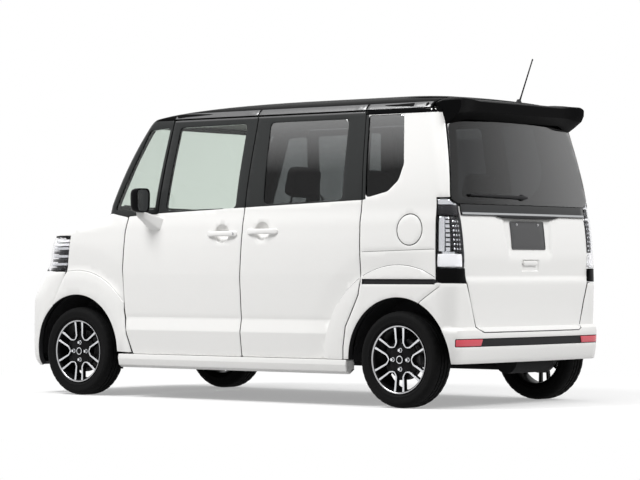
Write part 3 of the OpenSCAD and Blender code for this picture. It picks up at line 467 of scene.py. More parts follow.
def pose(place, degrees=0.0, axis="X"):
    """The matrix that turns a shape about an axis and takes it to a place."""
    return Matrix.Translation(tuple(place)) @ Matrix.Rotation(math.radians(degrees), 4, axis)


class Shape:
    """Points in millimetres, faces, and the number of each face's finish."""

    def __init__(self):
        self.points, self.faces, self.finish = [], [], []

    def add(self, points, faces):
        base = len(self.points)
        self.points.extend(np.asarray(points, float).tolist())
        self.faces.extend([tuple(int(base + i) for i in face) for face in faces])
        self.finish.extend([0] * len(faces))
        return self

    def join(self, other, finish=None):
        """Take another shape in, with its own finishes or with one for all of it."""
        start = len(self.finish)
        self.add(other.points, other.faces)
        if finish is None:
            self.finish[start:] = other.finish
        else:
            self.finish[start:] = [finish] * len(other.finish)
        return self

    def moved(self, matrix):
        result = Shape()
        points = [tuple(matrix @ Vector(p)) for p in self.points]
        flip = matrix.to_3x3().determinant() < 0
        result.points, result.finish = [list(p) for p in points], list(self.finish)
        result.faces = [face[::-1] if flip else face for face in self.faces]
        return result

    def mirrored(self):
        return self.moved(Matrix.Scale(-1, 4, (0, 1, 0)))

    def both(self):
        return Shape().join(self).join(self.mirrored())


def normals_of(points, triangles):
    """Each point's normal, weighed by the area of the triangles round it."""
    a, b, c = (points[triangles[:, i]] for i in range(3))
    face = np.cross(b - a, c - a)
    total = np.zeros_like(points)
    for i in range(3):
        np.add.at(total, triangles[:, i], face)
    return total / np.maximum(np.linalg.norm(total, axis=1), 1e-9)[:, None]


def panel(outline, domain, thickness, holes=(), creases=(), step=26.0, depth=0.0, roll=2.5,
          centre=(0, 0, 800)):
    """A sheet cut to an outline and laid on the body's skin, with rolled edges and an inner face.

    The outer skin has finish 0, and the wall and the inner face have finish 1. The outer skin
    looks away from the centre."""
    loops = [resample(grow(outline, -roll), step)]
    loops += [resample(grow(hole, roll), step) for hole in holes]
    points, edges = [], []
    for loop in loops:
        base, count = len(points), len(loop)
        points.extend(loop)
        edges.extend((base + i, base + (i + 1) % count) for i in range(count))
    rim = np.array(points)

    def free(candidates, margin):
        return within(candidates, loops) & (distance(candidates, rim) > margin)

    for line in creases:
        line = resample(line, step * 0.8, closed=False)
        good = free(line, 4.0)
        for i in range(len(line)):
            if good[i]:
                points.append(line[i])
                if i and good[i - 1]:
                    edges.append((len(points) - 2, len(points) - 1))
    low, high = rim.min(0), rim.max(0)
    rows = []
    for j, v in enumerate(np.arange(low[1], high[1], step * 0.87)):
        u = np.arange(low[0] + (j % 2) * step / 2, high[0], step)
        rows.append(pairs(u, v))
    grid = np.concatenate(rows)
    grid = grid[free(grid, step * 0.55)]
    if len(points) > len(rim) and len(grid):
        grid = grid[distance(grid, np.array(points[len(rim):])) > step * 0.45]
    points.extend(grid)
    flat, _, faces, *_ = delaunay_2d_cdt([Vector(p) for p in points], edges, [], 0, 0.001)
    flat = np.array([tuple(p) for p in flat])
    triangles = np.array([face for face in faces if len(face) == 3])
    triangles = triangles[within(flat[triangles].mean(1), loops)]
    used, triangles = np.unique(triangles, return_inverse=True)
    triangles = triangles.reshape(-1, 3)
    skin = domain.surface(flat[used])
    normals = normals_of(skin, triangles)
    away = skin - np.array(centre) * [0, 1, 1] - skin * [1, 0, 0] * (not isinstance(domain, End))
    if (normals * away).sum() < 0:
        triangles = triangles[:, ::-1]
    return sheet(skin, triangles, thickness, depth, roll)


def weld(points, triangles):
    """Points that lie together made one, and triangles without area left out."""
    _, first, inverse = np.unique(np.round(points, 2), axis=0, return_index=True, return_inverse=True)
    triangles = inverse.reshape(-1)[triangles]
    a, b, c = triangles.T
    return points[first], triangles[(a != b) & (b != c) & (a != c)]


# How far each ring of a rolled edge lies out and in, as shares of the roll.
ROLL_RINGS = [(0.7, 0.3), (1.0, 1.0)]


def sheet(skin, triangles, thickness, depth, roll, wall=1):
    """An open skin made into a solid sheet, with rolled edges and an inner face."""
    normals = normals_of(skin, triangles)
    skin = skin - normals * depth
    # Edges that one triangle uses, and the way out of the sheet along each of them.
    directed = np.concatenate([triangles[:, [0, 1]], triangles[:, [1, 2]], triangles[:, [2, 0]]])
    names = {}
    for a, b in directed.tolist():
        names[(a, b)] = (b, a) not in names
        if (b, a) in names:
            names[(b, a)] = names[(a, b)] = False
    border = np.array([pair for pair, single in names.items() if single])
    out = np.zeros_like(skin)
    tangent = skin[border[:, 1]] - skin[border[:, 0]]
    for side in (0, 1):
        np.add.at(out, border[:, side], np.cross(tangent, normals[border[:, side]]))
    out /= np.maximum(np.linalg.norm(out, axis=1), 1e-9)[:, None]
    shape = Shape()
    shape.add(skin, triangles)
    edge_ids = np.unique(border)
    place = {int(v): i for i, v in enumerate(edge_ids)}
    base = len(skin)
    previous = {int(v): int(v) for v in edge_ids}
    for go_out, go_in in ROLL_RINGS:
        ring = skin[edge_ids] + roll * (go_out * out[edge_ids] - go_in * normals[edge_ids])
        shape.add(ring, [])
        now = {v: base + place[v] for v in place}
        for a, b in border.tolist():
            shape.faces.append((previous[b], previous[a], now[a], now[b]))
            shape.finish.append(0)
        previous, base = now, base + len(edge_ids)
    inner = skin - normals * thickness
    shape.add(inner, [])
    shape.faces.extend(tuple(int(base + i) for i in face[::-1]) for face in triangles)
    shape.finish.extend([1] * len(triangles))
    for a, b in border.tolist():
        shape.faces.append((previous[b], previous[a], base + a, base + b))
        shape.finish.append(wall)
    return shape


# Plain bodies.
def rounded_box(size, radius, centre=(0, 0, 0), segments=3, turn=None):
    """A box with rounded edges, turned about its own centre."""
    bm = bmesh.new()
    bmesh.ops.create_cube(bm, size=1.0, matrix=Matrix.Diagonal((*size, 1)))
    bmesh.ops.bevel(bm, geom=bm.edges[:], offset=radius, segments=segments, profile=0.5, affect="EDGES")
    shape = Shape().add([v.co for v in bm.verts], [[v.index for v in f.verts] for f in bm.faces])
    bm.free()
    matrix = Matrix.Translation(centre)
    return shape.moved(matrix @ turn if turn else matrix)


def loft(rings, caps=True):
    """A skin through rings that have the same number of points each."""
    rings = [np.asarray(ring, float) for ring in rings]
    n = len(rings[0])
    shape = Shape().add(np.concatenate(rings), [])
    faces = [(i * n + j, i * n + (j + 1) % n, (i + 1) * n + (j + 1) % n, (i + 1) * n + j)
             for i in range(len(rings) - 1) for j in range(n)]
    shape.faces, shape.finish = faces, [0] * len(faces)
    if caps:
        for ring, order in ((0, -1), (len(rings) - 1, 1)):
            face = tuple(range(ring * n, ring * n + n))[::order]
            shape.faces.append(face)
            shape.finish.append(0)
    return shape


def squircle(a, b, count, power):
    """A rounded oblong of two half sizes. A higher power has sharper corners."""
    angles = np.linspace(0, 2 * math.pi, count, endpoint=False)
    c, s = np.cos(angles), np.sin(angles)
    return pairs(a * np.sign(c) * np.abs(c) ** (2 / power), b * np.sign(s) * np.abs(s) ** (2 / power))


def tube(path, radius, count=12):
    """A round bar along a path. A radius for each point may be given."""
    path = np.asarray(path, float)
    radii = np.broadcast_to(radius, len(path))
    ways = np.gradient(path, axis=0)
    rings = []
    up = Vector((0.13, 0.21, 0.97))
    for p, way, r in zip(path, ways, radii):
        way = Vector(way).normalized()
        side = way.cross(up).normalized()
        over = side.cross(way)
        angles = np.linspace(0, 2 * math.pi, count, endpoint=False)
        rings.append([p + r * (math.cos(a) * np.array(side) + math.sin(a) * np.array(over)) for a in angles])
    return loft(rings)


def lathe(profile, count=64, finish=0):
    """A profile [radius, height] turned about Z."""
    profile = np.asarray(profile, float)
    angles = np.linspace(0, 2 * math.pi, count, endpoint=False)
    rings = [np.stack([r * np.cos(angles), r * np.sin(angles), np.full(count, h)], 1) for r, h in profile]
    shape = loft(rings, caps=False)
    shape.finish = [finish] * len(shape.faces)
    return shape


# Finishes.
materials = {}
SPREAD = ("From Min", "From Max", "To Min", "To Max")


def add_node(tree, kind, **values):
    """A shader node with these values. An underscore stands for a space in a socket's name."""
    node = tree.nodes.new("ShaderNode" + kind)
    set_sockets(node, values)
    return node


def set_sockets(node, values):
    for socket, value in values.items():
        node.inputs[socket.replace("_", " ")].default_value = value


def add_spread(tree, values):
    """A node that maps one span of values to another."""
    return add_node(tree, "MapRange", **dict(zip(SPREAD, values)))


def add_mix(tree, share, first, second):
    """A mix of two shaders, by the share of the second."""
    mix = add_node(tree, "MixShader")
    for i, source in enumerate((share, first.outputs[0], second.outputs[0])):
        tree.links.new(source, mix.inputs[i])
    return mix


def paint_reflection_fade(name, axis, span, weights):
    """Painted reflection: let a finish shine more from one end of a span to the other, along one axis of the
    part, in place of light reflected unevenly.
    """
    tree = materials[name][0].node_tree
    place = add_node(tree, "TexCoord")
    parts = add_node(tree, "SeparateXYZ")
    fade = add_spread(tree, (*span, *weights))
    tree.links.new(place.outputs["Object"], parts.inputs[0])
    tree.links.new(parts.outputs[axis], fade.inputs["Value"])
    tree.links.new(fade.outputs["Result"], tree.nodes["Principled BSDF"].inputs["Coat Weight"])


def finish(name, slot, color, rough=0.5, metal=0.0, coat=0.0, grain=None, bump=0.0, mottle=0.0, **extra):
    """A material whose roughness, colour and relief vary with a noise of this grain."""
    material = bpy.data.materials.new(name)
    material.use_nodes = True
    tree, links = material.node_tree, material.node_tree.links
    shader = tree.nodes["Principled BSDF"]
    set_sockets(shader, {"Base Color": (*color, 1), "Roughness": rough, "Metallic": metal,
                         "Coat Weight": coat, "Coat Roughness": 0.04, **extra})
    if grain:
        place = add_node(tree, "TexCoord")
        noise = add_node(tree, "TexNoise", Scale=grain, Detail=3)
        links.new(place.outputs["Object"], noise.inputs["Vector"])
        spread = add_spread(tree, (0.3, 0.7, rough * 0.82, min(1.0, rough * 1.2)))
        links.new(noise.outputs["Fac"], spread.inputs["Value"])
        links.new(spread.outputs["Result"], shader.inputs["Roughness"])
        if mottle:
            tint = add_node(tree, "Mix")
            tint.data_type = "RGBA"
            tint.inputs["A"].default_value = (*[c * (1 - mottle) for c in color], 1)
            tint.inputs["B"].default_value = (*[min(1.0, c * (1 + mottle)) for c in color], 1)
            links.new(noise.outputs["Fac"], tint.inputs["Factor"])
            links.new(tint.outputs["Result"], shader.inputs["Base Color"])
        if bump:
            relief = add_node(tree, "Bump", Strength=bump, Distance=0.001)
            links.new(noise.outputs["Fac"], relief.inputs["Height"])
            links.new(relief.outputs["Normal"], shader.inputs["Normal"])
    materials[name] = (material, slot)


finish("white_paint", "body_white", (0.84, 0.835, 0.82), 0.30, coat=0.3, grain=900, bump=0.015)
finish("black_paint", "gloss_black", (0.0015, 0.0015, 0.0018), 0.10, grain=700, bump=0.01,
       Specular_IOR_Level=0.05)
finish("clear_glass", "clear_glass", (0.78, 0.83, 0.79), 0.0, coat=1.0, Transmission_Weight=1.0, IOR=1.02,
       Coat_IOR=1.4)
finish("dark_glass", "dark_glass", (0.10, 0.105, 0.11), 0.0, Transmission_Weight=1.0, IOR=1.02, Coat_IOR=3.0)
# Painted reflection: the side glass shines more towards its top.
paint_reflection_fade("dark_glass", "Z", (1.31, 1.68), (0.08, 1.0))
finish("gate_glass", "dark_glass", (0.10, 0.105, 0.11), 0.0, Transmission_Weight=1.0, IOR=1.02, Coat_IOR=2.2)
# Painted reflection: the tailgate glass shines more towards the car's right side.
paint_reflection_fade("gate_glass", "Y", (0.5, -0.62), (0.25, 1.0))
finish("roof_paint", "gloss_black", (0.0012, 0.0012, 0.0014), 0.45, grain=700, bump=0.01,
       Specular_IOR_Level=0.03)
finish("frame_paint", "gloss_black", (0.021, 0.0225, 0.0225), 0.3, grain=700, bump=0.02,
       Specular_IOR_Level=0.2)
finish("band_gloss", "gloss_black", (0.05, 0.05, 0.052), 0.30, grain=700, bump=0.01, IOR=1.8)
finish("lens", "lamp_lens", (0.96, 0.96, 0.97), 0.0, Transmission_Weight=1.0, IOR=1.14)
finish("red_lens", "lamp_lens", (0.66, 0.055, 0.085), 0.16, coat=0.2, grain=260, bump=0.25)
finish("silver", "lamp_lens", (0.62, 0.63, 0.65), 0.16, metal=1.0, grain=300, bump=0.05)
finish("lamp_dark", "lamp_lens", (0.016, 0.016, 0.018), 0.3, metal=0.2, grain=400, bump=0.2,
       Specular_IOR_Level=0.2)
finish("lamp_white", "lamp_lens", (0.86, 0.86, 0.87), 0.2, grain=400, bump=0.1)
finish("smoked", "smoked_chrome", (0.035, 0.036, 0.037), 0.14, metal=0.5, grain=200, bump=0.03,
       Specular_IOR_Level=0.3)
finish("plastic", "black_plastic", (0.010, 0.010, 0.011), 0.55, grain=1800, bump=0.25, mottle=0.2,
       Specular_IOR_Level=0.2)
finish("soft_grey", "black_plastic", (0.09, 0.09, 0.095), 0.7, grain=1500, bump=0.3, mottle=0.2)
finish("lining", "seat_cloth", (0.42, 0.41, 0.39), 0.9, grain=2500, bump=0.3, mottle=0.1)
finish("cloth", "seat_cloth", (0.075, 0.075, 0.08), 0.92, grain=2200, bump=0.7, mottle=0.45,
       Sheen_Weight=0.3)
finish("under", "underbody", (0.012, 0.012, 0.013), 0.75, grain=400, bump=0.4, mottle=0.4,
       Specular_IOR_Level=0.2)
finish("steel", "bare_steel", (0.42, 0.42, 0.43), 0.38, metal=1.0, grain=500, bump=0.15, mottle=0.2)
finish("engine", "engine_metal", (0.33, 0.33, 0.34), 0.5, metal=0.8, grain=300, bump=0.3, mottle=0.25)
finish("rubber", "tyre_rubber", (0.006, 0.006, 0.0062), 0.75, grain=900, bump=0.2, mottle=0.3,
       Specular_IOR_Level=0.08)
finish("alloy", "alloy", (0.66, 0.67, 0.69), 0.24, metal=1.0, grain=600, bump=0.05)
finish("wheel_black", "alloy", (0.006, 0.006, 0.0065), 0.35, grain=500, bump=0.04, Specular_IOR_Level=0.06)
finish("rim_lip", "alloy", (0.42, 0.42, 0.43), 0.28, metal=1.0, grain=500, bump=0.05)
finish("brake", "alloy", (0.05, 0.05, 0.052), 0.5, metal=0.7, grain=500, bump=0.15, mottle=0.2)
finish("chrome", "smoked_chrome", (0.45, 0.46, 0.47), 0.12, metal=1.0, grain=200, bump=0.03)
finish("mirror", "gloss_black", (0.86, 0.87, 0.88), 0.03, metal=1.0, grain=40)
finish("leather", "black_plastic", (0.03, 0.03, 0.031), 0.6, grain=1100, bump=0.5, mottle=0.25)
finish("plate_dark", "black_plastic", (0.045, 0.045, 0.047), 0.4, grain=600, bump=0.12, mottle=0.15)

# Solids that show as they are, and their finishes.
SHOW_CAD = {
    "floor_pan": "under", "b_pillars": "plastic", "cowl": "plastic",
    "engine_block": "engine", "fuel_tank": "under", "exhaust": "under", "front_suspension": "under",
    "rear_axle": "under", "knuckle_left": "steel", "knuckle_right": "steel",
}
WELD_METRES = 0.00002


def make(name, shape, body, finishes, nodes=(), angle=38.0):
    """A mesh object from a shape, riding on a body and standing for these nodes."""
    finishes = [finishes] if isinstance(finishes, str) else finishes
    mesh = bpy.data.meshes.new(name)
    mesh.from_pydata([[c * MM for c in p] for p in shape.points], [], shape.faces)
    for key in finishes:
        mesh.materials.append(materials[key][0])
    mesh.polygons.foreach_set("material_index", [min(f, len(finishes) - 1) for f in shape.finish])
    bm = bmesh.new()
    bm.from_mesh(mesh)
    bmesh.ops.remove_doubles(bm, verts=bm.verts[:], dist=WELD_METRES)
    bm.to_mesh(mesh)
    bm.free()
    mesh.polygons.foreach_set("use_smooth", [True] * len(mesh.polygons))
    mesh.set_sharp_from_angle(angle=math.radians(angle))
    mesh.update()
    piece = bpy.data.objects.new(name, mesh)
    bpy.context.scene.collection.objects.link(piece)
    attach(piece, body)
    if nodes:
        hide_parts(*([nodes] if isinstance(nodes, str) else nodes))
    return piece


def make_sides(name, shape, body, finishes, node=None, angle=38.0):
    """A piece on the left and its mirror image on the right. In the body's name # is the side."""
    for side, own in (("left", shape), ("right", shape.mirrored())):
        make(f"{name}_{side}", own, body.replace("#", side), finishes,
             f"{node}_{side}" if node else (), angle)


# Camera, stage and light.
def add_camera():
    yaw, pitch = CAMERA_YAW, CAMERA_PITCH
    ahead = Vector((math.cos(yaw) * math.cos(pitch), math.sin(yaw) * math.cos(pitch), math.sin(pitch)))
    right = Vector((math.sin(yaw), -math.cos(yaw), 0))
    up = right.cross(ahead)
    data = bpy.data.cameras.new("photo_camera")
    data.sensor_fit, data.sensor_width = "HORIZONTAL", SENSOR
    data.lens = FOCAL_PIXELS / PHOTO_PIXELS * SENSOR
    data.clip_end = 200
    camera = bpy.data.objects.new("photo_camera", data)
    bpy.context.scene.collection.objects.link(camera)
    turn = Matrix((right, up, -ahead)).transposed().to_4x4()
    camera.matrix_world = Matrix.Translation(CAMERA_PLACE) @ turn
    bpy.context.scene.camera = camera


def seen_directly(tree):
    """One for rays from the camera and for those that glass or gloss sends on."""
    path = add_node(tree, "LightPath")
    total = path.outputs["Is Camera Ray"]
    for name in ("Is Transmission Ray", "Is Glossy Ray"):
        either = add_node(tree, "Math")
        either.operation = "MAXIMUM"
        tree.links.new(total, either.inputs[0])
        tree.links.new(path.outputs[name], either.inputs[1])
        total = either.outputs[0]
    return total


def add_stage():
    """A pale floor that keeps the shadow near the car and turns to white further out."""
    mesh = bpy.data.meshes.new("floor")
    corners_of_floor = rectangle(-FLOOR_REACH, FLOOR_REACH, -FLOOR_REACH, FLOOR_REACH)
    mesh.from_pydata([(x, y, 0) for x, y in corners_of_floor], [], [(0, 1, 2, 3)])
    floor = bpy.data.objects.new("floor", mesh)
    bpy.context.scene.collection.objects.link(floor)
    material = bpy.data.materials.new("floor_white")
    material.use_nodes = True
    tree, links = material.node_tree, material.node_tree.links
    shader = tree.nodes["Principled BSDF"]
    set_sockets(shader, {"Base Color": FLOOR_PALE, "Roughness": 0.9, "Specular IOR Level": 0.1})
    white = add_node(tree, "Emission", Color=WHITE, Strength=1.0)
    place = add_node(tree, "TexCoord")
    far = add_node(tree, "VectorMath")
    far.operation = "LENGTH"
    links.new(place.outputs["Object"], far.inputs[0])
    share = add_spread(tree, FLOOR_FADE)
    links.new(far.outputs["Value"], share.inputs["Value"])
    dim = add_node(tree, "BsdfDiffuse", Color=FLOOR_DIM)
    seen = add_mix(tree, share.outputs["Result"], shader, white)
    mix = add_mix(tree, seen_directly(tree), dim, seen)
    links.new(mix.outputs[0], tree.nodes["Material Output"].inputs["Surface"])
    mesh.materials.append(material)


def add_light():
    world = bpy.data.worlds.new("studio")
    bpy.context.scene.world = world
    world.use_nodes = True
    tree = world.node_tree
    fill = tree.nodes["Background"]
    set_sockets(fill, {"Color": WHITE, "Strength": FILL_LIGHT})
    back = add_node(tree, "Background", Color=WHITE, Strength=1.0)
    mix = add_mix(tree, seen_directly(tree), fill, back)
    tree.links.new(mix.outputs[0], tree.nodes["World Output"].inputs["Surface"])
    for name, place, aim, size, power in LAMPS:
        data = bpy.data.lights.new(name, "AREA")
        data.size, data.energy = size, power
        lamp = bpy.data.objects.new(name, data)
        lamp.location = place
        lamp.rotation_euler = (Vector(aim) - Vector(place)).to_track_quat("-Z", "Y").to_euler()
        bpy.context.scene.collection.objects.link(lamp)
    bpy.context.scene.view_settings.view_transform = "Standard"


add_camera()
add_stage()
add_light()

# Side outlines, as [x, z] along the middle of each gap.
DOOR_GAP = [[-150, 257], [-143, 712], [-170, 1117], [-206, DOOR_TOP]]
FRONT_DOOR = [[746, 1082], [770, 987], [789, 760], [782, 521], [757, 380], [714, 257],
              *DOOR_GAP, [452, DOOR_TOP], [512, 1092]]
SLIDING_DOOR = [*DOOR_GAP, [-995, DOOR_TOP], [-1026, 1146], [-1021, 1023], [-1027, 690], [-1014, 620],
                [-985, 561], [-924, 444], [-906, 330], [-904, 257]]
FRONT_WINDOW = [[398, 1598], [-127, 1604], [-97, 1116], [452, 1108]]
SLIDING_WINDOW = [[-302, 1604], [-877, 1604], [-883, 1149], [-308, 1134]]
FRONT_PANE = [[640, 1590], [478, 1600], [540, 1116], [868, 1112]]
REAR_PANE = [[-1014, 1618], [-1262, 1618], [-1298, 1340], [-1270, 1250], [-1200, 1190], [-1046, 1156]]
BELT = ([-1026, 460, 746], [1146, 1096, 1077])
DOOR_BODY = "front_#_door"
DOOR_ROUND, WINDOW_ROUND = 14, 32
DOOR_WALL, FRAME_WALL, SKIN_WALL, PANE_WALL, TRIM_WALL = 44, 24, 30, 5, 2


def belt(points):
    """Height above the line where the white body meets the black window frames."""
    return points[:, 1] - np.interp(points[:, 0], *BELT)


def below_belt(points):
    return -belt(points)


def flare_lines(x, radii):
    return [circle(x, AXLE_HEIGHT, r, 90, 0, 180) for r in radii]


def cup_lines(index):
    x, z, radius, _ = CUPS[index]
    return [circle(x, z, radius * share, 40, 0, 359) for share in (1.02, 0.97, 0.9, 0.78, 0.6, 0.4, 0.2)]


# Lines close on both sides of each pressed line, and the rear flare's arcs.
SIDE_CREASES = [np.array([[-1000, z + dz], [860, z + dz]]) for z in (402, 483, 735) for dz in (-5, 0, 5)]
SIDE_CREASES += flare_lines(REAR_AXLE, REAR_FLARE)


def side_pane(opening, depth=5, step=60):
    """A pane a little below the skin of the side."""
    return panel(grow(opening, -0.5), SIDE, PANE_WALL, depth=depth, roll=0.8, step=step)


def trim(outline, depth, step=24):
    """A thin strip on the side."""
    return panel(outline, SIDE, TRIM_WALL, depth=depth, roll=0.6, step=step)


def groove(outline, domain, depth=-0.5):
    """A thin strip that colours a groove's floor or the back of a seam. In dark grey along a flare's groove
    it is painted shade.
    """
    return panel(outline, domain, TRIM_WALL, depth=depth, roll=0.3, step=14)


def arc_strip(x, inner, outer, start, stop):
    """A narrow strip round a wheel, between two radii."""
    return np.concatenate([circle(x, AXLE_HEIGHT, inner, 40, start, stop),
                           circle(x, AXLE_HEIGHT, outer, 40, start, stop)[::-1]])


def door_parts(outline, opening, cup):
    """A door's white skin, its black window frame and its pane."""
    cut = fillet(grow(outline, -GAP / 2), DOOR_ROUND)
    hole = fillet(opening, WINDOW_ROUND)
    skin = panel(clip_outline(cut, below_belt), SIDE, DOOR_WALL, creases=SIDE_CREASES + cup_lines(cup))
    surround = panel(clip_outline(cut, belt), SIDE, FRAME_WALL, [hole], depth=1.5)
    return skin, surround, side_pane(hole)


def build_doors():
    skin, surround, pane = door_parts(FRONT_DOOR, FRONT_WINDOW, 0)
    make_sides("front_door_skin", skin, DOOR_BODY, ["white_paint", "soft_grey"], "front_door")
    make_sides("front_door_frame", surround, DOOR_BODY, "frame_paint")
    make_sides("front_door_pane", pane, DOOR_BODY, "clear_glass", "front_door_glass")
    skin, surround, pane = door_parts(SLIDING_DOOR, SLIDING_WINDOW, 1)
    make_sides("sliding_door_skin", skin, "body", ["white_paint", "soft_grey"], "sliding_door")
    make_sides("sliding_door_frame", surround, "body", "frame_paint")
    make("sliding_door_panes", pane.both(), "body", "dark_glass", "sliding_door_glass")


# The nose.
FENDER_DOOR_EDGE = [[752, 1073], [773.3, 987], [792.3, 760], [785.3, 521], [760.3, 380], [719.5, 262]]
LAMP_LINE = ([1250, 1420, 1580, 1800], [965, 964, 935, 905])
BONNET_SIDE = ([950, 1320, 1500, 1800], [648, 630, 600, 540])
BONNET_LIP, BONNET_REAR, BONNET_REAR_BOW = 903.0, 1036.0, 95.0
GRILLE_HALF = 424.0
GRILLE_BACKS = [(rectangle(-422, 422, 750, 900), 30),
                ([[-428, 266], [428, 266], [436, 404], [-436, 404]], 28)]
# Lowest and highest place of a set of slats, their number, and their half width at both.
SLAT_SETS = [(752, 900, 4, 421, 421), (272, 398, 3, 391, 428)]
SLAT_SHARE = 0.27
INTAKE = [[-430, 400], [430, 400], [390, 268], [-390, 268]]
BUMPER_SEAM = [[1266, 748], [1395, 530]]
LAMP_LOW = 751
WINDSCREEN = [[-581, 1643], [581, 1643], [648, 1114], [-648, 1114]]
# The windscreen's edge by height, and the corners of the pillar's cover behind it.
SCREEN_EDGE = ([1112, 1645], [651, 584])
PILLAR_CORNERS = [[1000, 1083], [990, 1076], [752, 1076], [519, 1097], [456, 1644]]


def bumper_seam(ahead):
    """The line between the fender and the front bumper, from the lamp down to the arch."""
    return resample(np.array(BUMPER_SEAM) + [ahead, -ahead], 16, closed=False)


def lamp_line(y, above):
    """Points on the nose where the headlamp's top edge passes this far from the middle."""
    z = np.full_like(y, 940.0)
    for _ in range(30):
        x = FRONT.surface(pairs(y, z))[:, 0]
        z = 0.5 * z + 0.5 * (np.interp(x, *LAMP_LINE) + above)
    return FRONT.surface(pairs(y, z))


def bonnet_edge(x, beyond):
    """Points on the skin along the bonnet's left side."""
    return HOOD.surface(pairs(x, np.interp(x, *BONNET_SIDE) + beyond))


def tip_of_bonnet(beyond):
    """Where the bonnet's side meets the headlamp's top edge."""
    x = np.linspace(1330, 1590, 261)
    edge = bonnet_edge(x, beyond)
    below = edge[:, 2] < np.interp(x, *LAMP_LINE) + GAP
    return x[np.argmax(below)] if below.any() else x[-1]


def fender_plane(points):
    return FENDER_ROUND.plane(on_side(points))


def build_fenders():
    tip = tip_of_bonnet(GAP)
    top = bonnet_edge(np.linspace(tip, 1006, 14), GAP)
    lamp_rear = resample([[1264, 750], [1230, 966]], 24, closed=False)
    lamp_x = np.linspace(1256, tip - 10, 6)
    lamp_top = pairs(lamp_x, np.interp(lamp_x, *LAMP_LINE) + 3)
    arch = circle(FRONT_AXLE, AXLE_HEIGHT, ARCH_RADIUS, 34, 50.6, 180.6)[::-1]
    side = np.concatenate([FENDER_DOOR_EDGE, arch, bumper_seam(-0.6)[::-1][:-1], lamp_rear, lamp_top])
    outline = FENDER_ROUND.plane(np.concatenate([on_side(side), top]))
    creases = [fender_plane(line) for line in flare_lines(FRONT_AXLE, FRONT_FLARE)]
    fender = panel(outline, FENDER_ROUND, SKIN_WALL, creases=creases)
    make("fender_skins", fender.both(), "body", ["white_paint", "under"], "fenders")
    # A dark grey strip along the front flare's groove: painted shade in the groove.
    edge = fender_plane(arc_strip(FRONT_AXLE, 485, 488, 76, 144))
    make("flare_groove_painted_shade", groove(edge, FENDER_ROUND).both(), "body", "soft_grey")
    seam = fender_plane(np.concatenate([bumper_seam(-5), bumper_seam(5)[::-1]]))
    make("bumper_seam_backing", groove(seam, FENDER_ROUND, 1.0).both(), "body", "white_paint")


def build_bonnet():
    across = np.linspace(0, 648, 16)
    rear = pairs(BONNET_REAR - BONNET_REAR_BOW * (across / HALF_WIDTH) ** 2, across)
    side_x = np.linspace(990, tip_of_bonnet(0) - 12, 12)
    side = pairs(side_x, np.interp(side_x, *BONNET_SIDE))
    over_lamp = lamp_line(np.linspace(570, GRILLE_HALF, 8), GAP)[:, :2]
    lip = FRONT.surface(pairs(np.linspace(GRILLE_HALF - GAP, 0, 10), BONNET_LIP + 1))[:, :2]
    half = np.concatenate([rear, side, over_lamp, lip])
    outline = np.concatenate([half, (half * [1, -1])[-2:0:-1]])
    make("bonnet_skin", panel(outline, HOOD, 22, step=22, centre=(0, 0, 500)), "bonnet",
         ["white_paint", "under"], "bonnet")


def build_front_bumper():
    arch = circle(FRONT_AXLE, AXLE_HEIGHT, ARCH_RADIUS, 20, -16, 50.2)[::-1]
    left = FRONT.plane(on_side(np.concatenate([bumper_seam(0.6), arch])))
    outline = np.concatenate([left, (left * [-1, 1])[::-1]])
    bumper = panel(outline, FRONT, SKIN_WALL, [fillet(INTAKE, 24)])
    make("front_bumper_skin", bumper, "body", ["white_paint", "under"], "front_bumper")
    grille = Shape()
    for outline, depth in GRILLE_BACKS:
        grille.join(panel(outline, FRONT, 3, depth=depth, step=60), 1)
    for low, high, count, half_low, half_high in SLAT_SETS:
        pitch = (high - low) / count
        for i in range(count):
            z = low + (i + 0.5) * pitch
            wide = np.interp(z, [low, high], [half_low, half_high])
            bar = rectangle(-wide, wide, z - pitch * SLAT_SHARE, z + pitch * SLAT_SHARE)
            grille.join(panel(bar, FRONT, 22, depth=3, roll=5, step=50), 0)
    make("grille_slats", grille, "body", ["black_paint", "plastic"], "grille")


def build_headlamps():
    """A clear lens over a bowl with level bars, of which the top ones are white."""
    rear = FRONT.plane(on_side(resample([[1234, 962], [1268, LAMP_LOW]], 24, closed=False)))
    top = FRONT.plane(lamp_line(np.linspace(GRILLE_HALF + 2, 590, 8), -1))
    lamp = np.concatenate([rear, [[GRILLE_HALF + 2, LAMP_LOW]], top])
    inner = Shape().join(panel(lamp, FRONT, 3, depth=46, roll=1.5), 1)
    for i, z in enumerate(np.arange(762, 960, 24)):
        bar = band(grow(lamp, -5), z, z + 17)
        if len(bar) > 2 and np.ptp(bar[:, 1]) > 10:
            inner.join(panel(bar, FRONT, 26, depth=14, roll=3, step=40), 2 if z > 900 else (1, 0)[i % 2])
    make("headlamp_lenses", panel(lamp, FRONT, 4, roll=1.5).both(), "body", "lens", "headlamps")
    make("headlamp_inners", inner.both(), "body", ["silver", "lamp_dark", "lamp_white"])


def build_windscreen():
    z = np.linspace(1645, 1112, 12)
    screen = FRONT.surface(pairs(np.interp(z, *SCREEN_EDGE), z))
    outline = np.concatenate([SIDE.plane(screen), PILLAR_CORNERS])
    hole = fillet(FRONT_PANE, 22)
    pillar = panel(outline, SIDE, FRAME_WALL, [hole], depth=1.0)
    make("a_pillar_covers", pillar.both(), "body", "frame_paint", "a_pillars")
    make("front_quarter_panes", side_pane(hole).both(), "body", "clear_glass", "front_quarter_glass")
    outline = fillet(WINDSCREEN, [30, 30, 40, 40])
    pane = panel(outline, FRONT, PANE_WALL, depth=4, roll=1, step=60)
    make("windscreen_pane", pane, "body", "clear_glass", "windscreen")
    inside_edge = fillet(grow(outline, -34), 30)
    border = panel(outline, FRONT, 1.5, [inside_edge], depth=9.4, roll=0.5, step=50)
    make("windscreen_border", border, "body", "black_paint")


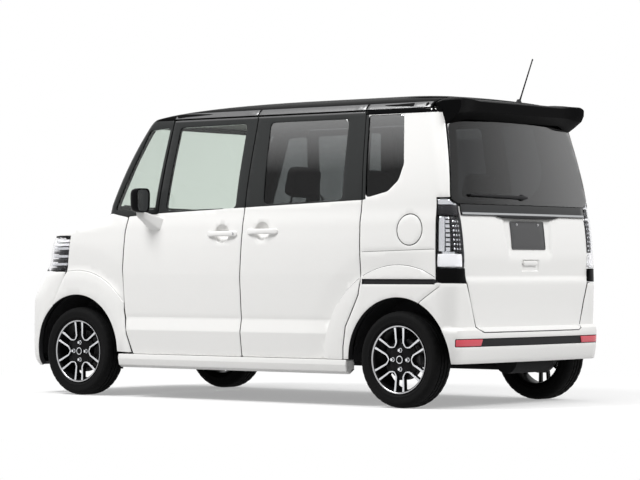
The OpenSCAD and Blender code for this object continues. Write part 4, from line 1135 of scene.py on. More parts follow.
# The roof.
ROOF_REAR = -1443.0
ROOF_HEIGHTS = np.concatenate([np.arange(1647, 1712, 5), np.arange(1712, 1738, 4),
                               [1738, 1741, 1743.5, 1745.5]])
ROOF_COUNT = 72
# Front and rear end of each band along the roof's side, cut in line with the doors.
ROOF_BANDS = [(448, -198), (-206, -988), (-996, -1432)]


def roof_ring(z):
    """The left half of the roof's outline at one height, from the front to the tailgate."""
    front, rear, half, f_bow, f_run, f_turn, r_bow, r_run, r_turn = level(z)
    y_front, x_front, y_rear, x_rear = corners(z)
    a = np.linspace(0, math.pi / 2, 30)
    y = np.linspace(0, y_front, 30)
    back_y = np.linspace(y_rear, 0, 30)
    line = np.concatenate([pairs(front - f_bow * (y / half) ** 2, y),
                           pairs(x_front + f_run * np.cos(a), y_front + f_turn * np.sin(a)),
                           pairs(x_rear - r_run * np.sin(a), y_rear + r_turn * np.cos(a)),
                           pairs(rear + r_bow * (back_y / half) ** 2, back_y)])
    line[:, 1] *= drawn_in(line[:, 0], z)
    if line[-1, 0] < ROOF_REAR:
        last = np.argmax(line[:, 0] < ROOF_REAR)
        t = (ROOF_REAR - line[last - 1, 0]) / (line[last, 0] - line[last - 1, 0])
        line = np.concatenate([line[:last], [line[last - 1] + t * (line[last] - line[last - 1])]])
    along = np.concatenate([[0], np.cumsum(np.linalg.norm(np.diff(line, axis=0), axis=1))])
    at = np.linspace(0, along[-1], ROOF_COUNT)
    return np.stack([np.interp(at, along, line[:, 0]), np.interp(at, along, line[:, 1]),
                     np.full(ROOF_COUNT, z)], 1)


def build_roof():
    rows = [roof_ring(z) for z in ROOF_HEIGHTS]
    left = np.concatenate(rows)
    n = ROOF_COUNT
    quads = [(i * n + j, i * n + j + 1, (i + 1) * n + j + 1, (i + 1) * n + j)
             for i in range(len(rows) - 1) for j in range(n - 1)]
    triangles = [t for a, b, c, d in quads for t in ((a, b, c), (a, c, d))]
    # The flat middle of the roof closes the last ring with strips from side to side.
    last = (len(rows) - 1) * n
    shift = len(left)
    for a in range(last, last + n - 1):
        triangles += [(a, a + 1, shift + a + 1), (a, shift + a + 1, shift + a)]
    right = [(c + shift, b + shift, a + shift) for a, b, c in triangles[:2 * len(quads)]]
    points, triangles = weld(np.concatenate([left, left * [1, -1, 1]]), np.array(triangles + right))
    skin = sheet(points, triangles, 20, 0.0, 2.5, wall=0)
    make("roof_skin", skin, "body", ["roof_paint", "lining"], "roof")
    bands = Shape()
    for ahead, behind in ROOF_BANDS:
        bands.join(trim([[ahead, 1650], [behind, 1650], [behind - 2, 1681], [ahead - 12, 1681]], -0.8))
    make("roof_side_bands", bands.both(), "body", "band_gloss")
    edge = trim([[446, 1631], [-196, 1631], [-198, 1640], [444, 1640]], 0.6)
    make_sides("front_door_bands", edge, DOOR_BODY, "band_gloss")
    edge = trim([[-208, 1631], [-986, 1631], [-987, 1640], [-209, 1640]], 0.6)
    make("sliding_door_bands", edge.both(), "body", "band_gloss")


# The quarter panels.
QUARTER_DOOR_EDGE = [[-998, 1643], [-1029.2, 1146], [-1024.2, 1023], [-1030.2, 690], [-1017, 618.5],
                     [-987.8, 559], [-927, 442.5], [-909.2, 330], [-907.2, 262]]
QUARTER_SEAM = [[-1439.4, 587.4], [-1566.4, 667.4], [-1579, 687.5], [-1546.5, 688], [-1536.5, 1152]]
QUARTER_EDGE = [[-999, 1640], [-1029.6, 1146], [-1050, 1150], [-1018, 1622], [-1262, 1622], [-1262, 1640]]
QUARTER_WALL = 40
FUEL_LID = (-1365, 978)
FUEL_RADIUS = 83


def rear_s(y, z):
    """Distance from the middle along the rear skin for a sideways place."""
    y, z = np.asarray(y, float), np.asarray(z, float)
    half, turn = level(z)[2], level(z)[8]
    angle = np.arcsin(np.clip((y - (half - turn)) / turn, 0, 1))
    return np.where(y > half - turn, half - turn + REAR.turn * angle, y)


def rear_points(points):
    """Rear outline points [y, z] by their distance along the skin."""
    y, z = np.asarray(points, float).T
    return pairs(rear_s(y, z), z)


def rear_outline(points):
    """A rear outline given for the left half as [y, z], on both halves."""
    left = rear_points(points)
    right = (left * [-1, 1])[::-1]
    return np.concatenate([left, right[np.abs(right[:, 0]) > 1e-6]])


def build_quarters():
    arch = circle(REAR_AXLE, AXLE_HEIGHT, ARCH_RADIUS, 34, -0.6, 115.2)
    z = np.linspace(1153, 1643, 14)
    pillar = rear_points(pairs(np.interp(z, [1135, 1168, 1640], [675, 675, 597]), z))
    outline = np.concatenate([QUARTER_DOOR_EDGE, arch, QUARTER_SEAM, SIDE.plane(REAR.surface(pillar))])
    glass = fillet(REAR_PANE, [26, 26, 60, 60, 60, 30])
    rail_slot = rectangle(-1040, -1538, 679, 708)
    line = [[-1042, 857], [-1536, 869.5], [-1536, 871.5], [-1042, 859]]
    holes = [glass, rail_slot, line]
    creases = flare_lines(REAR_AXLE, REAR_FLARE)
    lid = circle(*FUEL_LID, FUEL_RADIUS + 5, 48)
    left = panel(outline, SIDE, QUARTER_WALL, [*holes, lid], creases, step=24, roll=2)
    right = panel(outline, SIDE, QUARTER_WALL, holes, creases, step=24, roll=2).mirrored()
    make("quarter_skin_left", left, "body", ["white_paint", "under"], "quarter_panel_left")
    make("quarter_skin_right", right, "body", ["white_paint", "under"], "quarter_panel_right")
    make("rear_quarter_panes", side_pane(glass, 4, 50).both(), "body", "dark_glass", "rear_quarter_glass")
    rail = panel(rectangle(-1036, -1542, 674, 713), SIDE, 4, depth=8, roll=0.5, step=50)
    rail.join(panel([[-1530, 680], [-1552, 688], [-1552, 707], [-1530, 707]], SIDE, 2, depth=-0.6, roll=0.5))
    backing = [[-1036, 852], [-1542, 864], [-1542, 876], [-1036, 864]]
    rail.join(panel(backing, SIDE, 2, depth=5, roll=0.5, step=50))
    make("slide_rails", rail.both(), "body", "plastic")
    # Dark grey strips along the rear flare's groove: painted shade in the groove.
    arcs = Shape()
    for start, stop in ((36, 59.6), (61.6, 119.5)):
        arcs.join(groove(arc_strip(REAR_AXLE, 518, 521, start, stop), SIDE))
    make("rear_flare_groove_painted_shade", arcs.both(), "body", "soft_grey")
    make("quarter_edge_bands", trim(QUARTER_EDGE, -0.6, 30).both(), "body", "frame_paint")
    z = np.linspace(1621, 1645, 3)
    rear = rear_points(pairs(np.interp(z, [1135, 1640], [679, 597]), z))
    top = np.concatenate([[[-1000, 1645], [-1000, 1621]], SIDE.plane(REAR.surface(rear))])
    make("roof_edge_bands", trim(top, -0.8, 30).both(), "body", "black_paint")
    lid = panel(circle(*FUEL_LID, FUEL_RADIUS, 48), SIDE, 5, roll=1.5, step=24)
    make("fuel_lid_skin", lid, "fuel_lid", ["white_paint", "plastic"], "fuel_lid")
    pocket = panel(circle(*FUEL_LID, FUEL_RADIUS + 9, 40), SIDE, 2, depth=22, roll=0.5, step=40)
    make("fuel_pocket", pocket, "body", "under")


# The rear.
GATE_LOWER = [[0, 1104], [611, 1104], [608, 730], [560, 590], [513, 450], [500, 433], [468, 420], [0, 420]]
GATE_UPPER = [[0, 1606], [592, 1606], [668, 1168], [668, 1137], [614, 1108], [0, 1108]]
GATE_OPENING = [[0, 1570], [200, 1569], [380, 1563], [500, 1552], [528, 1530], [604, 1170],
                [590, 1140], [0, 1136]]
GATE_PANE = [[0, 1604], [588, 1604], [665, 1168], [665, 1142], [618, 1119], [0, 1119]]
GARNISH = [[0, 1116], [606, 1116], [606, 1054], [330, 1054], [240, 1049], [0, 1049]]
GARNISH_LINE = [[0, 1071], [602, 1071], [602, 1059], [0, 1059]]
PLATE_LAMP_BAR = [[0, 1056], [250, 1056], [300, 1054], [240, 1042], [0, 1040]]
GATE_GAP = [[0, 414], [471, 414], [503, 428], [518, 446], [566, 588], [602, 684]]
REAR_SEAM = [[-1579, 686], [-1567, 666], [-1440, 586]]
REAR_BUMPER_LOW = 247.0
PRESSED_LINE = ([420, 560, 684, 698, 722, 830, 1050], [0, 4, 2, 4, 16, 6, 6])


def tail_relief(points):
    """The tailgate's pressed line, its plate recess and the handle's pocket."""
    s, z = points[:, 1], points[:, 2]
    edge = 0.10 * (1050 - z)
    plate = ease(236 - edge, 214 - edge, np.abs(s)) * ease(806, 880, z)
    pocket = ease(86, 74, np.abs(s)) * ease(748, 756, z) * ease(816, 808, z)
    return np.interp(z, *PRESSED_LINE) + 14 * plate + 9 * pocket


class Tail(End):
    """The rear with the tailgate's own relief."""

    def surface(self, uv):
        points = super().surface(uv)
        points[:, 0] += tail_relief(points)
        return points


TAIL = Tail(False)


def build_tailgate():
    lines = [[[-600, z], [600, z]] for z in (684, 691, 698, 706, 714, 722, 730, 806, 830, 856, 880)]
    lines += [[[y - np.sign(y) * 20, 845], [y, 1045]] for y in (-236, -225, -214, 214, 225, 236)]
    lines += [[[-90, z], [90, z]] for z in (748, 756, 808, 816)]
    lines += [[[y, 744], [y, 820]] for y in (-86, -80, -74, 74, 80, 86)]
    skin = panel(rear_outline(GATE_LOWER), TAIL, 36, creases=lines)
    make("tailgate_skin", skin, "tailgate", ["white_paint", "soft_grey"], "tailgate")
    surround = panel(rear_outline(GATE_UPPER), REAR, 26, [rear_outline(GATE_OPENING)], depth=6)
    make("tailgate_frame", surround, "tailgate", "black_paint")
    # Name, outline, thickness, depth, rolled edge, finish and node of the pieces laid on the tailgate.
    for name, outline, thickness, depth, roll, key, node in (
            ("tailgate_pane", GATE_PANE, 4.5, 0.5, 1.5, "gate_glass", "tailgate_glass"),
            ("garnish_bar", GARNISH, 14, -5, 4, "smoked", "garnish"),
            ("garnish_line", GARNISH_LINE, 4, -7, 1.5, "chrome", ()),
            ("plate_lamp_bar", PLATE_LAMP_BAR, 20, -8, 4, "plastic", ())):
        shape = panel(rear_outline(outline), REAR, thickness, depth=depth, roll=roll, step=40)
        make(name, shape, "tailgate", key, node)


def build_tail_lamps():
    """A clear lens over light strips, a field of studs and a dark bar."""
    lamp = np.concatenate([REAR.plane(on_side([[-1545, 769], [-1535.5, 1147]])),
                           rear_points([[672, 1147], [672, 1139], [619, 1116], [614, 769]])])
    base = np.concatenate([REAR.plane(on_side([[-1546, 690], [-1545, 767]])),
                           rear_points([[614, 767], [613, 730], [602, 690]])])
    inner = Shape().join(panel(lamp, REAR, 3, depth=44, roll=1), 0)
    cap = clip_outline(grow(lamp, -4), lambda p: p[:, 1] - 1112)
    inner.join(panel(cap, REAR, 20, depth=7, roll=6, step=20), 0)
    across = band(grow(lamp, -2), 1058, 1110)
    inner.join(panel(across, REAR, 20, depth=6, roll=3, step=30), 1)
    low = clip_outline(grow(lamp, -5), lambda p: 846 - p[:, 1])
    inner.join(panel(low, REAR, 24, depth=12, roll=6, step=20), 2)
    edge = REAR.plane(on_side([[-1545, 900]]))[0, 0]
    for near, far, key in ((626, edge - 92, 1), (edge - 84, edge - 58, 0), (edge - 50, edge - 12, 0)):
        inner.join(panel(rectangle(near, far, 858, 1050), REAR, 20, depth=12, roll=5, step=16), key)
    for z in np.arange(866, 1040, 25):
        for s in np.arange(632, edge - 100, 22):
            inner.join(panel(rectangle(s, s + 11, z, z + 12), REAR, 5, depth=8, roll=2.5, step=12), 0)
        cut = rectangle(edge - 84, edge - 56, z + 14, z + 22)
        inner.join(panel(cut, REAR, 4, depth=9, roll=1.5, step=12), 1)
    make("tail_lamp_lenses", panel(lamp, REAR, 4, roll=2).both(), "body", "lens", "tail_lamps")
    make("tail_lamp_inners", inner.both(), "body", ["silver", "lamp_dark", "lamp_white"])
    make("tail_lamp_bases", panel(base, REAR, 30, roll=2).both(), "body", "black_paint")


def build_rear_bumper():
    arch = circle(REAR_AXLE, AXLE_HEIGHT, ARCH_RADIUS, 26, 115.8, 183.2)
    side = REAR.plane(on_side(np.concatenate([np.array(REAR_SEAM) + [-0.8, -0.8], arch])))
    left = np.concatenate([rear_points(GATE_GAP), side, [[0, REAR_BUMPER_LOW]]])
    outline = np.concatenate([left, (left * [-1, 1])[::-1][1:-1]])
    strip = fillet(rectangle(-704, 704, 339, 384), 8)
    ledge = [[[-760, z], [760, z]] for z in (412, 428, 437, 446, 460)]
    bumper = panel(outline, REAR, SKIN_WALL, [strip], ledge)
    make("rear_bumper_skin", bumper, "body", ["white_paint", "under"], "rear_bumper")
    make("bumper_strip", panel(grow(strip, 3), REAR, 8, depth=5, roll=2, step=40), "body", "plastic")
    red = fillet([[500, 343], [700, 343], [700, 380], [484, 380]], 5)
    make("rear_reflectors", panel(red, REAR, 8, depth=0.5, roll=2.5, step=30).both(), "body", "red_lens")


def build_load_sill():
    """A ribbed plate that closes the floor to the bumper below the tailgate."""
    plate = rounded_box((110, 930, 5), 2, (-1622, 0, 399))
    for y in np.linspace(-400, 400, 17):
        plate.join(rounded_box((90, 12, 5), 2, (-1622, y, 402)))
    make("load_sill", plate, "body", "plastic")


def build_spoiler():
    """A blade behind the roof, humped near both ends, on a foot that runs down to the glass."""
    across = np.concatenate([np.linspace(-598, -540, 6), np.linspace(-520, 520, 27),
                             np.linspace(540, 598, 6)])
    roof = Top(1560).surface(pairs(-1453.0, np.clip(across, -596, 596)))[:, 2]
    rings = []
    for y, z_roof in zip(across, roof):
        a = abs(y)
        end = float(ease(430, 590, a))
        hump = 9 * float(ease(400, 480, a)) * (1 - 0.7 * float(ease(560, 600, a)))
        top_x, top_z = -1612 - 14 * end, 1687 + hump - 6 * float(ease(585, 600, a))
        low_x, low_z = top_x + 10 + 6 * end, 1622 - 10 * end
        foot_x, foot_z = -1552 + 36 * end, 1586 - 32 * end
        mid_z = (z_roof + top_z) / 2 + 3 + hump * 0.4
        section = [(-1450, z_roof - 2), (-1500, mid_z + 1), (-1560, (mid_z + top_z) / 2 + 1.5),
                   (top_x + 8, top_z + 0.5), (top_x, top_z - 5), (top_x + 1, (top_z + low_z) / 2),
                   (low_x, low_z + 5), (low_x + 6, low_z), ((low_x + foot_x) / 2, (low_z + foot_z) / 2),
                   (foot_x, foot_z), (foot_x + 18, foot_z + 8), (-1500, z_roof - 40), (-1452, z_roof - 20)]
        rings.append([[x, y, z] for x, z in section])
    make("spoiler_skin", loft(rings), "tailgate", "roof_paint", "spoiler", angle=30)


# Wheels, built about Z with the outer face up.
WHEELS = [("front_left", FRONT_AXLE, 1), ("front_right", FRONT_AXLE, -1),
          ("rear_left", REAR_AXLE, 1), ("rear_right", REAR_AXLE, -1)]
# Radius, height and depth of the shoulder's cuts along the tyre's section.
TYRE_SIDE = [(179, 61.8, 0), (190.5, 62, 0), (196, 67.5, 0), (203, 71.2, 0), (204.5, 73, 0), (209, 74, 0),
             (211, 73.6, 0), (222, 76.8, 0), (232, 78, 0), (240, 77.6, 0), (241, 76.9, 0), (247, 75.2, 0),
             (252, 72.5, 0.6), (257, 68.5, 1.6), (261, 62, 2.2), (264.2, 53, 2.5), (265.4, 46, 2.5)]
TREAD = [(266, 36, 0), (266, 33, 0), (259, 32, 0), (259, 25, 0), (266, 24, 0), (266, 14, 4), (266, 5, 0),
         (259, 4, 0)]
LIP = [(188.6, 62.4), (190, 64.5), (189.4, 67.2), (187, 68), (182.5, 67.4), (179.5, 65), (177, 60.5)]
BARREL = [(177, 60.5), (173, 55), (170.5, 44), (169, 10), (169, -54), (173, -61), (184, -66), (188.6, -67.6),
          (190, -65), (188.6, -62.4), (178, -61.6), (176.5, -50), (176.5, 50), (178, 61.6), (188.6, 62.4)]
HUB = [(0, 57), (17, 57), (17.6, 58.2), (20, 58.6), (22, 58.2), (22.6, 56), (23, 50), (28, 48.6), (62, 48.6),
       (72, 47), (84, 43), (87, 36), (80, 30), (67, 27), (67, -15), (22, -15.5), (18, -15.5)]
HUB_RING = [(17.6, 58.2), (20, 59.0), (22, 58.2)]
NUT = [(13.5, 48.7), (13.5, 49.6), (10.5, 50.2), (10.5, 60), (8.6, 63.5), (5, 65), (0, 65.4)]
DRUM = [(40, -15.8), (104, -15.8), (104, -12), (112, -11.5), (112, -7), (109, -6), (109, -2), (112, -1),
        (112, 4), (109, 5), (109, 9), (112, 10), (112, 16), (108, 17.6), (74, 17.6), (70, 22), (40, 22)]
DISC = [(60, -11.5), (125, -11.5), (125, -5.5), (119, -5), (119, 1), (125, 1.5), (125, 7.5), (92, 7.8),
        (88, 14), (60, 14)]
SPOKES, NUTS, NUT_CIRCLE = 6, 4, 52
# A spoke's bar from the rim to the hub: distance out, distance aside, width and height.
BAR = [(175, 29, 14, 63), (160, 28, 12.5, 61), (140, 27, 11.5, 59.5), (120, 26, 11, 58.5),
       (104, 25, 10.5, 57.5), (93, 24.5, 10, 56.5)]
# Width and height where a bar bends to the hub and where two bars meet.
BAR_BENDS = [(8.5, 55), (7, 54)]
BAR_DEPTH = 26


def tyre_shape(count=144):
    """The tyre's section, with a cut across the shoulder at every fourth step round."""
    half = TYRE_SIDE + TREAD
    step = np.arange(count)
    angles = 2 * math.pi * step / count
    rings = []
    for r, h, cut in half + [(r, -h, cut) for r, h, cut in half[::-1]]:
        radius = r - cut * (step % 4 == (0 if h > 0 else 2))
        rings.append(np.stack([radius * np.cos(angles), radius * np.sin(angles), np.full(count, h)], 1))
    return loft(rings + rings[:1], caps=False)


def ribbon(path, widths, tops, depth):
    """A bar along a flat path: its machined top has finish 0 and its sides finish 1."""
    path = np.asarray(path, float)
    way = np.gradient(path, axis=0)
    way /= np.linalg.norm(way, axis=1)[:, None]
    side = pairs(-way[:, 1], way[:, 0])
    rings = []
    for p, s, w, top in zip(path, side, widths, tops):
        section = [(-w / 2 - 2, top - depth), (-w / 2, top - 1.6), (-w / 2 + 1.2, top), (w / 2 - 1.2, top),
                   (w / 2, top - 1.6), (w / 2 + 2, top - depth)]
        rings.append([[*(p + s * across), height] for across, height in section])
    shape = loft(rings)
    faces = 6 * (len(rings) - 1)
    shape.finish = [0 if j % 6 in (1, 2, 3) else 1 for j in range(faces)] + [1, 1]
    return shape


def heading(angle):
    """The directions out along an angle and aside from it."""
    return np.array([math.cos(angle), math.sin(angle)]), np.array([-math.sin(angle), math.cos(angle)])


def rim_shape(brake):
    """Finishes: machined face, black paint, brake, polished lip."""
    shape = Shape()
    shape.join(lathe(LIP[:4], 96, 1)).join(lathe(LIP[3:6], 96, 3)).join(lathe(LIP[5:], 96, 1))
    shape.join(lathe(BARREL, 96, 1))
    widths = [row[2] for row in BAR] + [w for w, _ in BAR_BENDS]
    tops = [row[3] for row in BAR] + [top for _, top in BAR_BENDS]
    for i in range(SPOKES):
        here = math.radians(90 + 60 * i)
        bottom = 79 * heading(here + math.radians(30))[0]
        bars = []
        for turn, sign in ((0, 1), (60, -1)):
            u, v = heading(here + math.radians(turn))
            bend = 0.55 * (88 * u + sign * 24 * v) + 0.45 * bottom
            bars.append([out * u + sign * aside * v for out, aside, _, _ in BAR] + [bend])
        path = bars[0] + [bottom] + bars[1][::-1]
        shape.join(ribbon(path, widths + widths[-2::-1], tops + tops[-2::-1], BAR_DEPTH))
        # The floor of the channel between a pair of bars, near the hub.
        u, v = heading(here)
        floor = [60 * u - 24 * v, 60 * u + 24 * v, 112 * u + 20 * v, 112 * u - 20 * v]
        shape.join(loft([[[*p, 30] for p in floor], [[*p, 42] for p in floor]]), 1)
    shape.join(lathe(HUB, 72, 1)).join(lathe(HUB_RING, 48, 0))
    for i in range(NUTS):
        u, _ = heading(math.radians(360 / NUTS * i))
        shape.join(lathe(NUT, 6, 0).moved(pose((*(NUT_CIRCLE * u), 0))))
    valve = np.array([[*heading(4.35)[0], 0]]) * 166
    stem = np.concatenate([valve + [0, 0, 40], valve * 0.985 + [0, 0, 52], valve * 0.965 + [0, 0, 62]])
    shape.join(tube(stem, [4.5, 3.6, 3.2], 10), 1)
    return shape.join(lathe(brake, 72, 2))


def build_wheels():
    tyre = tyre_shape()
    for name, x, side in WHEELS:
        place = pose((x, side * HALF_TRACK, AXLE_HEIGHT), -90 * side)
        make(f"tyre_skin_{name}", tyre.moved(place), f"wheel_{name}", "rubber", f"tyre_{name}", angle=30)
        rim = rim_shape(DRUM if name.startswith("rear") else DISC)
        make(f"rim_face_{name}", rim.moved(place), f"wheel_{name}",
             ["alloy", "wheel_black", "brake", "rim_lip"], f"rim_{name}", angle=32)


# Mirrors and handles.
# Place along the car, half width and half height of the mirror case's rings, from the glass forward.
MIRROR_RINGS = [(548, 48, 64), (541.5, 50.5, 66.5), (540.3, 53.5, 69.5), (543, 56.4, 72), (560, 57, 72.5),
                (582, 56.5, 72), (600, 51, 66), (610, 41, 55), (614.5, 24, 36)]
MIRROR_POINTS = 44
MIRROR_Y, MIRROR_Z = 808.5, 1168.5
MIRROR_FOOT = [[454, 1062], [577, 1062], [570, 998], [542, 980], [470, 986]]
FRONT_HANDLE, SLIDING_HANDLE = (-10, 967), (-315, 978)
HANDLE_HALF = 116
LOCK = [(9.5, 0), (9.5, 1.6), (8, 2.6), (5.5, 2.6), (5.2, 1.8), (0, 1.8)]


def build_mirrors():
    rings = []
    for x, a, b in MIRROR_RINGS:
        ring = squircle(a, b, MIRROR_POINTS, 4.2)
        rings.append([[x, MIRROR_Y + p * (1 + 0.05 * q / b), MIRROR_Z + q] for p, q in ring])
    case = loft(rings)
    case.finish = [1 if face == tuple(range(MIRROR_POINTS))[::-1] else 0 for face in case.faces]
    foot = resample(fillet(MIRROR_FOOT, [12, 10, 20, 16, 18]), 6)
    middle = np.array([522, 1026])
    rings = []
    for t in (0, 0.12, 0.3, 0.5, 0.7, 0.86, 1.0):
        shrink = 1 - 0.46 * ease(0.05, 1.0, t)
        flat = (foot - middle) * shrink + (middle + [52 * t, 62 * t ** 1.2])
        rings.append([[x, 714 + 92 * t, min(z, 1100)] for x, z in flat])
    make_sides("mirror_case", case, DOOR_BODY, ["black_paint", "mirror"], "mirror", angle=35)
    make_sides("mirror_arm", loft(rings), DOOR_BODY, "white_paint", angle=50)


def handle_shape(x, z):
    """A bowed pull bar with broad flat ends, seated on the plain skin."""
    skin = float(half_width(x, z))
    rings = []
    for t in np.concatenate([[-1.0, -0.995], np.linspace(-0.98, 0.98, 29), [0.995, 1.0]]):
        bow = 1 - t * t
        end = math.sqrt(max(0.0, 1 - abs(t) ** 14)) * 0.92 + 0.08
        flat = float(ease(0.5, 0.8, abs(t)))
        ring = squircle((7 - 1.5 * flat) * end, (14.5 + 2.5 * flat) * end, 24, 2.8)
        rings.append([[x + HANDLE_HALF * t, skin + 1 + 19 * bow + p, z + q] for p, q in ring])
    return loft(rings)


def build_handles():
    skin = float(half_width(-116, FRONT_HANDLE[1]))
    lock = lathe(LOCK, 28).moved(pose((-98, skin + 12.8, FRONT_HANDLE[1]), -90))
    make_sides("door_handle_bar", handle_shape(*FRONT_HANDLE), DOOR_BODY, "white_paint",
               "door_handle", angle=50)
    make_sides("door_lock", lock, DOOR_BODY, "steel")
    make("sliding_handle_bars", handle_shape(*SLIDING_HANDLE).both(), "body", "white_paint",
         "sliding_door_handles", angle=50)


# Sills, wipers, antenna and plate.
SILL = [[655, 200], [655, 258], [734, 258], [737, 230], [729, 192], [707, 178], [690, 178], [676, 200]]
# Place along the car and inset of the sill's rings.
SILL_RINGS = [(-930, 5), (-926, 1), (-920, 0), (812, 0), (818, 1), (822, 5)]
FRONT_WIPERS = [((1004, 60, 1120), (962, 530, 1150)), ((972, -440, 1118), (1015, 20, 1136))]
WIPER_CAP = [(0, 9), (9, 8.5), (12.5, 5), (13.5, -2), (13.5, -40)]
WIPER_BOSS = [(0, 18), (8, 17.5), (14, 14), (17.5, 7), (18.5, -6), (18.5, -14)]
ANTENNA_FOOT = np.array([-1350, -336, 1716.0])
ANTENNA_BASE = [(19.5, -6), (19.5, 2), (18, 8), (14.5, 16), (11.5, 23), (9, 27), (5, 28), (0, 28)]
ANTENNA_LEAN = math.radians(21)
ANTENNA_RADII = ([18, 40, 60, 262, 264, 272, 274], [6, 5, 4.4, 3.6, 4.6, 4.6, 2])
PLATE_BOLT = [(7.5, -2), (7.5, 0.6), (5.6, 1.2), (5.6, 4.4), (4.2, 5.2), (0, 5.2)]


def build_sills():
    profile = fillet(SILL, [2, 2, 4, 6, 10, 6, 3, 6])
    shape = loft([[[x, y, z] for y, z in grow(profile, -inset)] for x, inset in SILL_RINGS])
    make("sill_covers", shape.both(), "body", "white_paint", "side_sills", angle=30)
    tabs = Shape()
    for x in (620, -720):
        tabs.join(rounded_box((70, 8, 12), 2.5, (x, 698.5, 185)))
        tabs.join(rounded_box((52, 12, 5), 2, (x, 698.5, 181)))
    make("jack_tabs", tabs.both(), "body", "under")


def build_wipers():
    arms = Shape()
    for start, end in FRONT_WIPERS:
        start, end = np.array(start, float), np.array(end, float)
        length = np.linalg.norm(end - start)
        steps = np.linspace(0, 1, 9)
        path = start + np.outer(steps, end - start) + np.outer(np.sin(steps * math.pi), [4, 0, 4])
        arms.join(tube(path, np.interp(steps, [0, 0.15, 1], [8.5, 6.5, 4.5]), 10), 0)
        blade = [start + (end - start) / length * run + [-2, 0, -7] for run in np.linspace(120, length, 12)]
        arms.join(tube(blade, 4.2, 8), 1)
        arms.join(lathe(WIPER_CAP, 24).moved(pose(start)), 0)
    make("front_wiper_arms", arms, "body", ["plastic", "rubber"], "front_wipers", angle=45)
    y = np.linspace(14, 524, 17)
    glass = REAR.surface(pairs(y, np.interp(y, [30, 524], [1160, 1169])))
    above = np.outer(np.interp(y, [30, 90, 524], [-15, -14, -12]), [1, 0, 0])
    rear = Shape().join(tube(glass + above, np.interp(y, [14, 40, 120, 524], [8, 11, 9, 5]), 10), 0)
    rear.join(tube(glass[5:] + [-3.5, 0, -7], 4.0, 8), 1)
    rear.join(lathe(WIPER_BOSS, 28).moved(pose(glass[1], -90, "Y")), 0)
    make("rear_wiper_arm", rear, "tailgate", ["plastic", "rubber"], "rear_wiper", angle=45)


def build_antenna():
    """A rod wound with wire, on a foot."""
    shape = lathe(ANTENNA_BASE, 32).moved(pose(ANTENNA_FOOT))
    way = np.array([-math.sin(ANTENNA_LEAN), 0, math.cos(ANTENNA_LEAN)])
    steps = np.linspace(18, 274, 90)
    thick = np.interp(steps, *ANTENNA_RADII) + 0.35 * (np.arange(90) % 2) * (steps > 60) * (steps < 262)
    shape.join(tube(ANTENNA_FOOT + np.outer(steps, way), thick, 10))
    make("antenna_rod", shape, "body", "plastic", "antenna", angle=50)


def build_plate():
    """A blank plate with a raised rim and two bolts, and the tailgate's grip below it."""
    outline = fillet(rectangle(-165, 165, 871, 1028), 9)
    plate = panel(outline, TAIL, 3, depth=-5, roll=1.2, step=40)
    opening = fillet(rectangle(-158, 158, 878, 1021), 6)
    plate.join(panel(outline, TAIL, 2, [opening], depth=-6.4, roll=0.8, step=30), 0)
    for y in (-105, 105):
        spot = TAIL.surface([[y, 1010.0]])[0] - [6, 0, 0]
        plate.join(lathe(PLATE_BOLT, 12, 1).moved(pose(spot, -90, "Y")))
    make("blank_plate", plate, "tailgate", ["plate_dark", "steel"], "plate_holder", angle=35)
    grip = fillet(rectangle(-68, 68, 782, 809), 12)
    make("tailgate_handle", panel(grip, TAIL, 12, depth=-11, roll=5, step=16), "tailgate", "white_paint")


# The cabin.
STEERING_PLACE, STEERING_TILT, STEERING_RADIUS = (430, -330, 985), -62, 175
COLUMN = [(14, -298), (14, -60), (34, -56), (38, -32), (30, -28)]
DASHBOARD = [[812, 620], [812, 1036], [760, 1031], [600, 977], [560, 920], [590, 800], [640, 640]]
# Place across the car and inset of the dashboard's rings.
DASHBOARD_RINGS = [(-640, 6), (-636, 1.5), (-625, 0), (-400, 0), (0, 0), (400, 0), (625, 0),
                   (636, 1.5), (640, 6)]
SPEAKER = [(74, 0), (74, 5), (70, 8), (64, 6), (58, 8), (50, 6), (42, 8), (32, 6), (20, 8), (0, 7)]
HEADREST_POST = [(7, 0), (7, 148)]
SEAT_Y, REAR_HEADREST_Y = 330, 300
OIL_CAP = [(22, 0), (22, 14), (19, 17), (8, 17), (7, 22), (0, 22)]


def build_steering():
    a = np.linspace(0, 2 * math.pi, 20, endpoint=False)
    ring = pairs(STEERING_RADIUS + 13.2 * np.cos(a), 13.8 * np.sin(a))
    shape = lathe(np.concatenate([ring, ring[:1]]), 72)
    for turn in (0, 90, 180):
        spoke = [[[r, y * w, h] for y, h in ((-1, -6), (1, -6), (0.8, 3), (-0.8, 3))]
                 for r, w in ((48, 21), (80, 16), (130, 13), (170, 15))]
        shape.join(loft(spoke).moved(Matrix.Rotation(math.radians(turn), 4, "Z")), 1)
    boss = [[[x, y, h] for x, y in squircle(58 * s, 60 * s, 36, 3.2)]
            for h, s in ((-30, 0.8), (-22, 1.0), (4, 1.0), (11, 0.93), (13.5, 0.8), (14, 0.5))]
    shape.join(loft(boss), 1).join(lathe(COLUMN, 28), 1)
    make("steering_rim", shape.moved(pose(STEERING_PLACE, STEERING_TILT, "Y")), "steering_wheel",
         ["leather", "plastic"], "steering_wheel", angle=40)


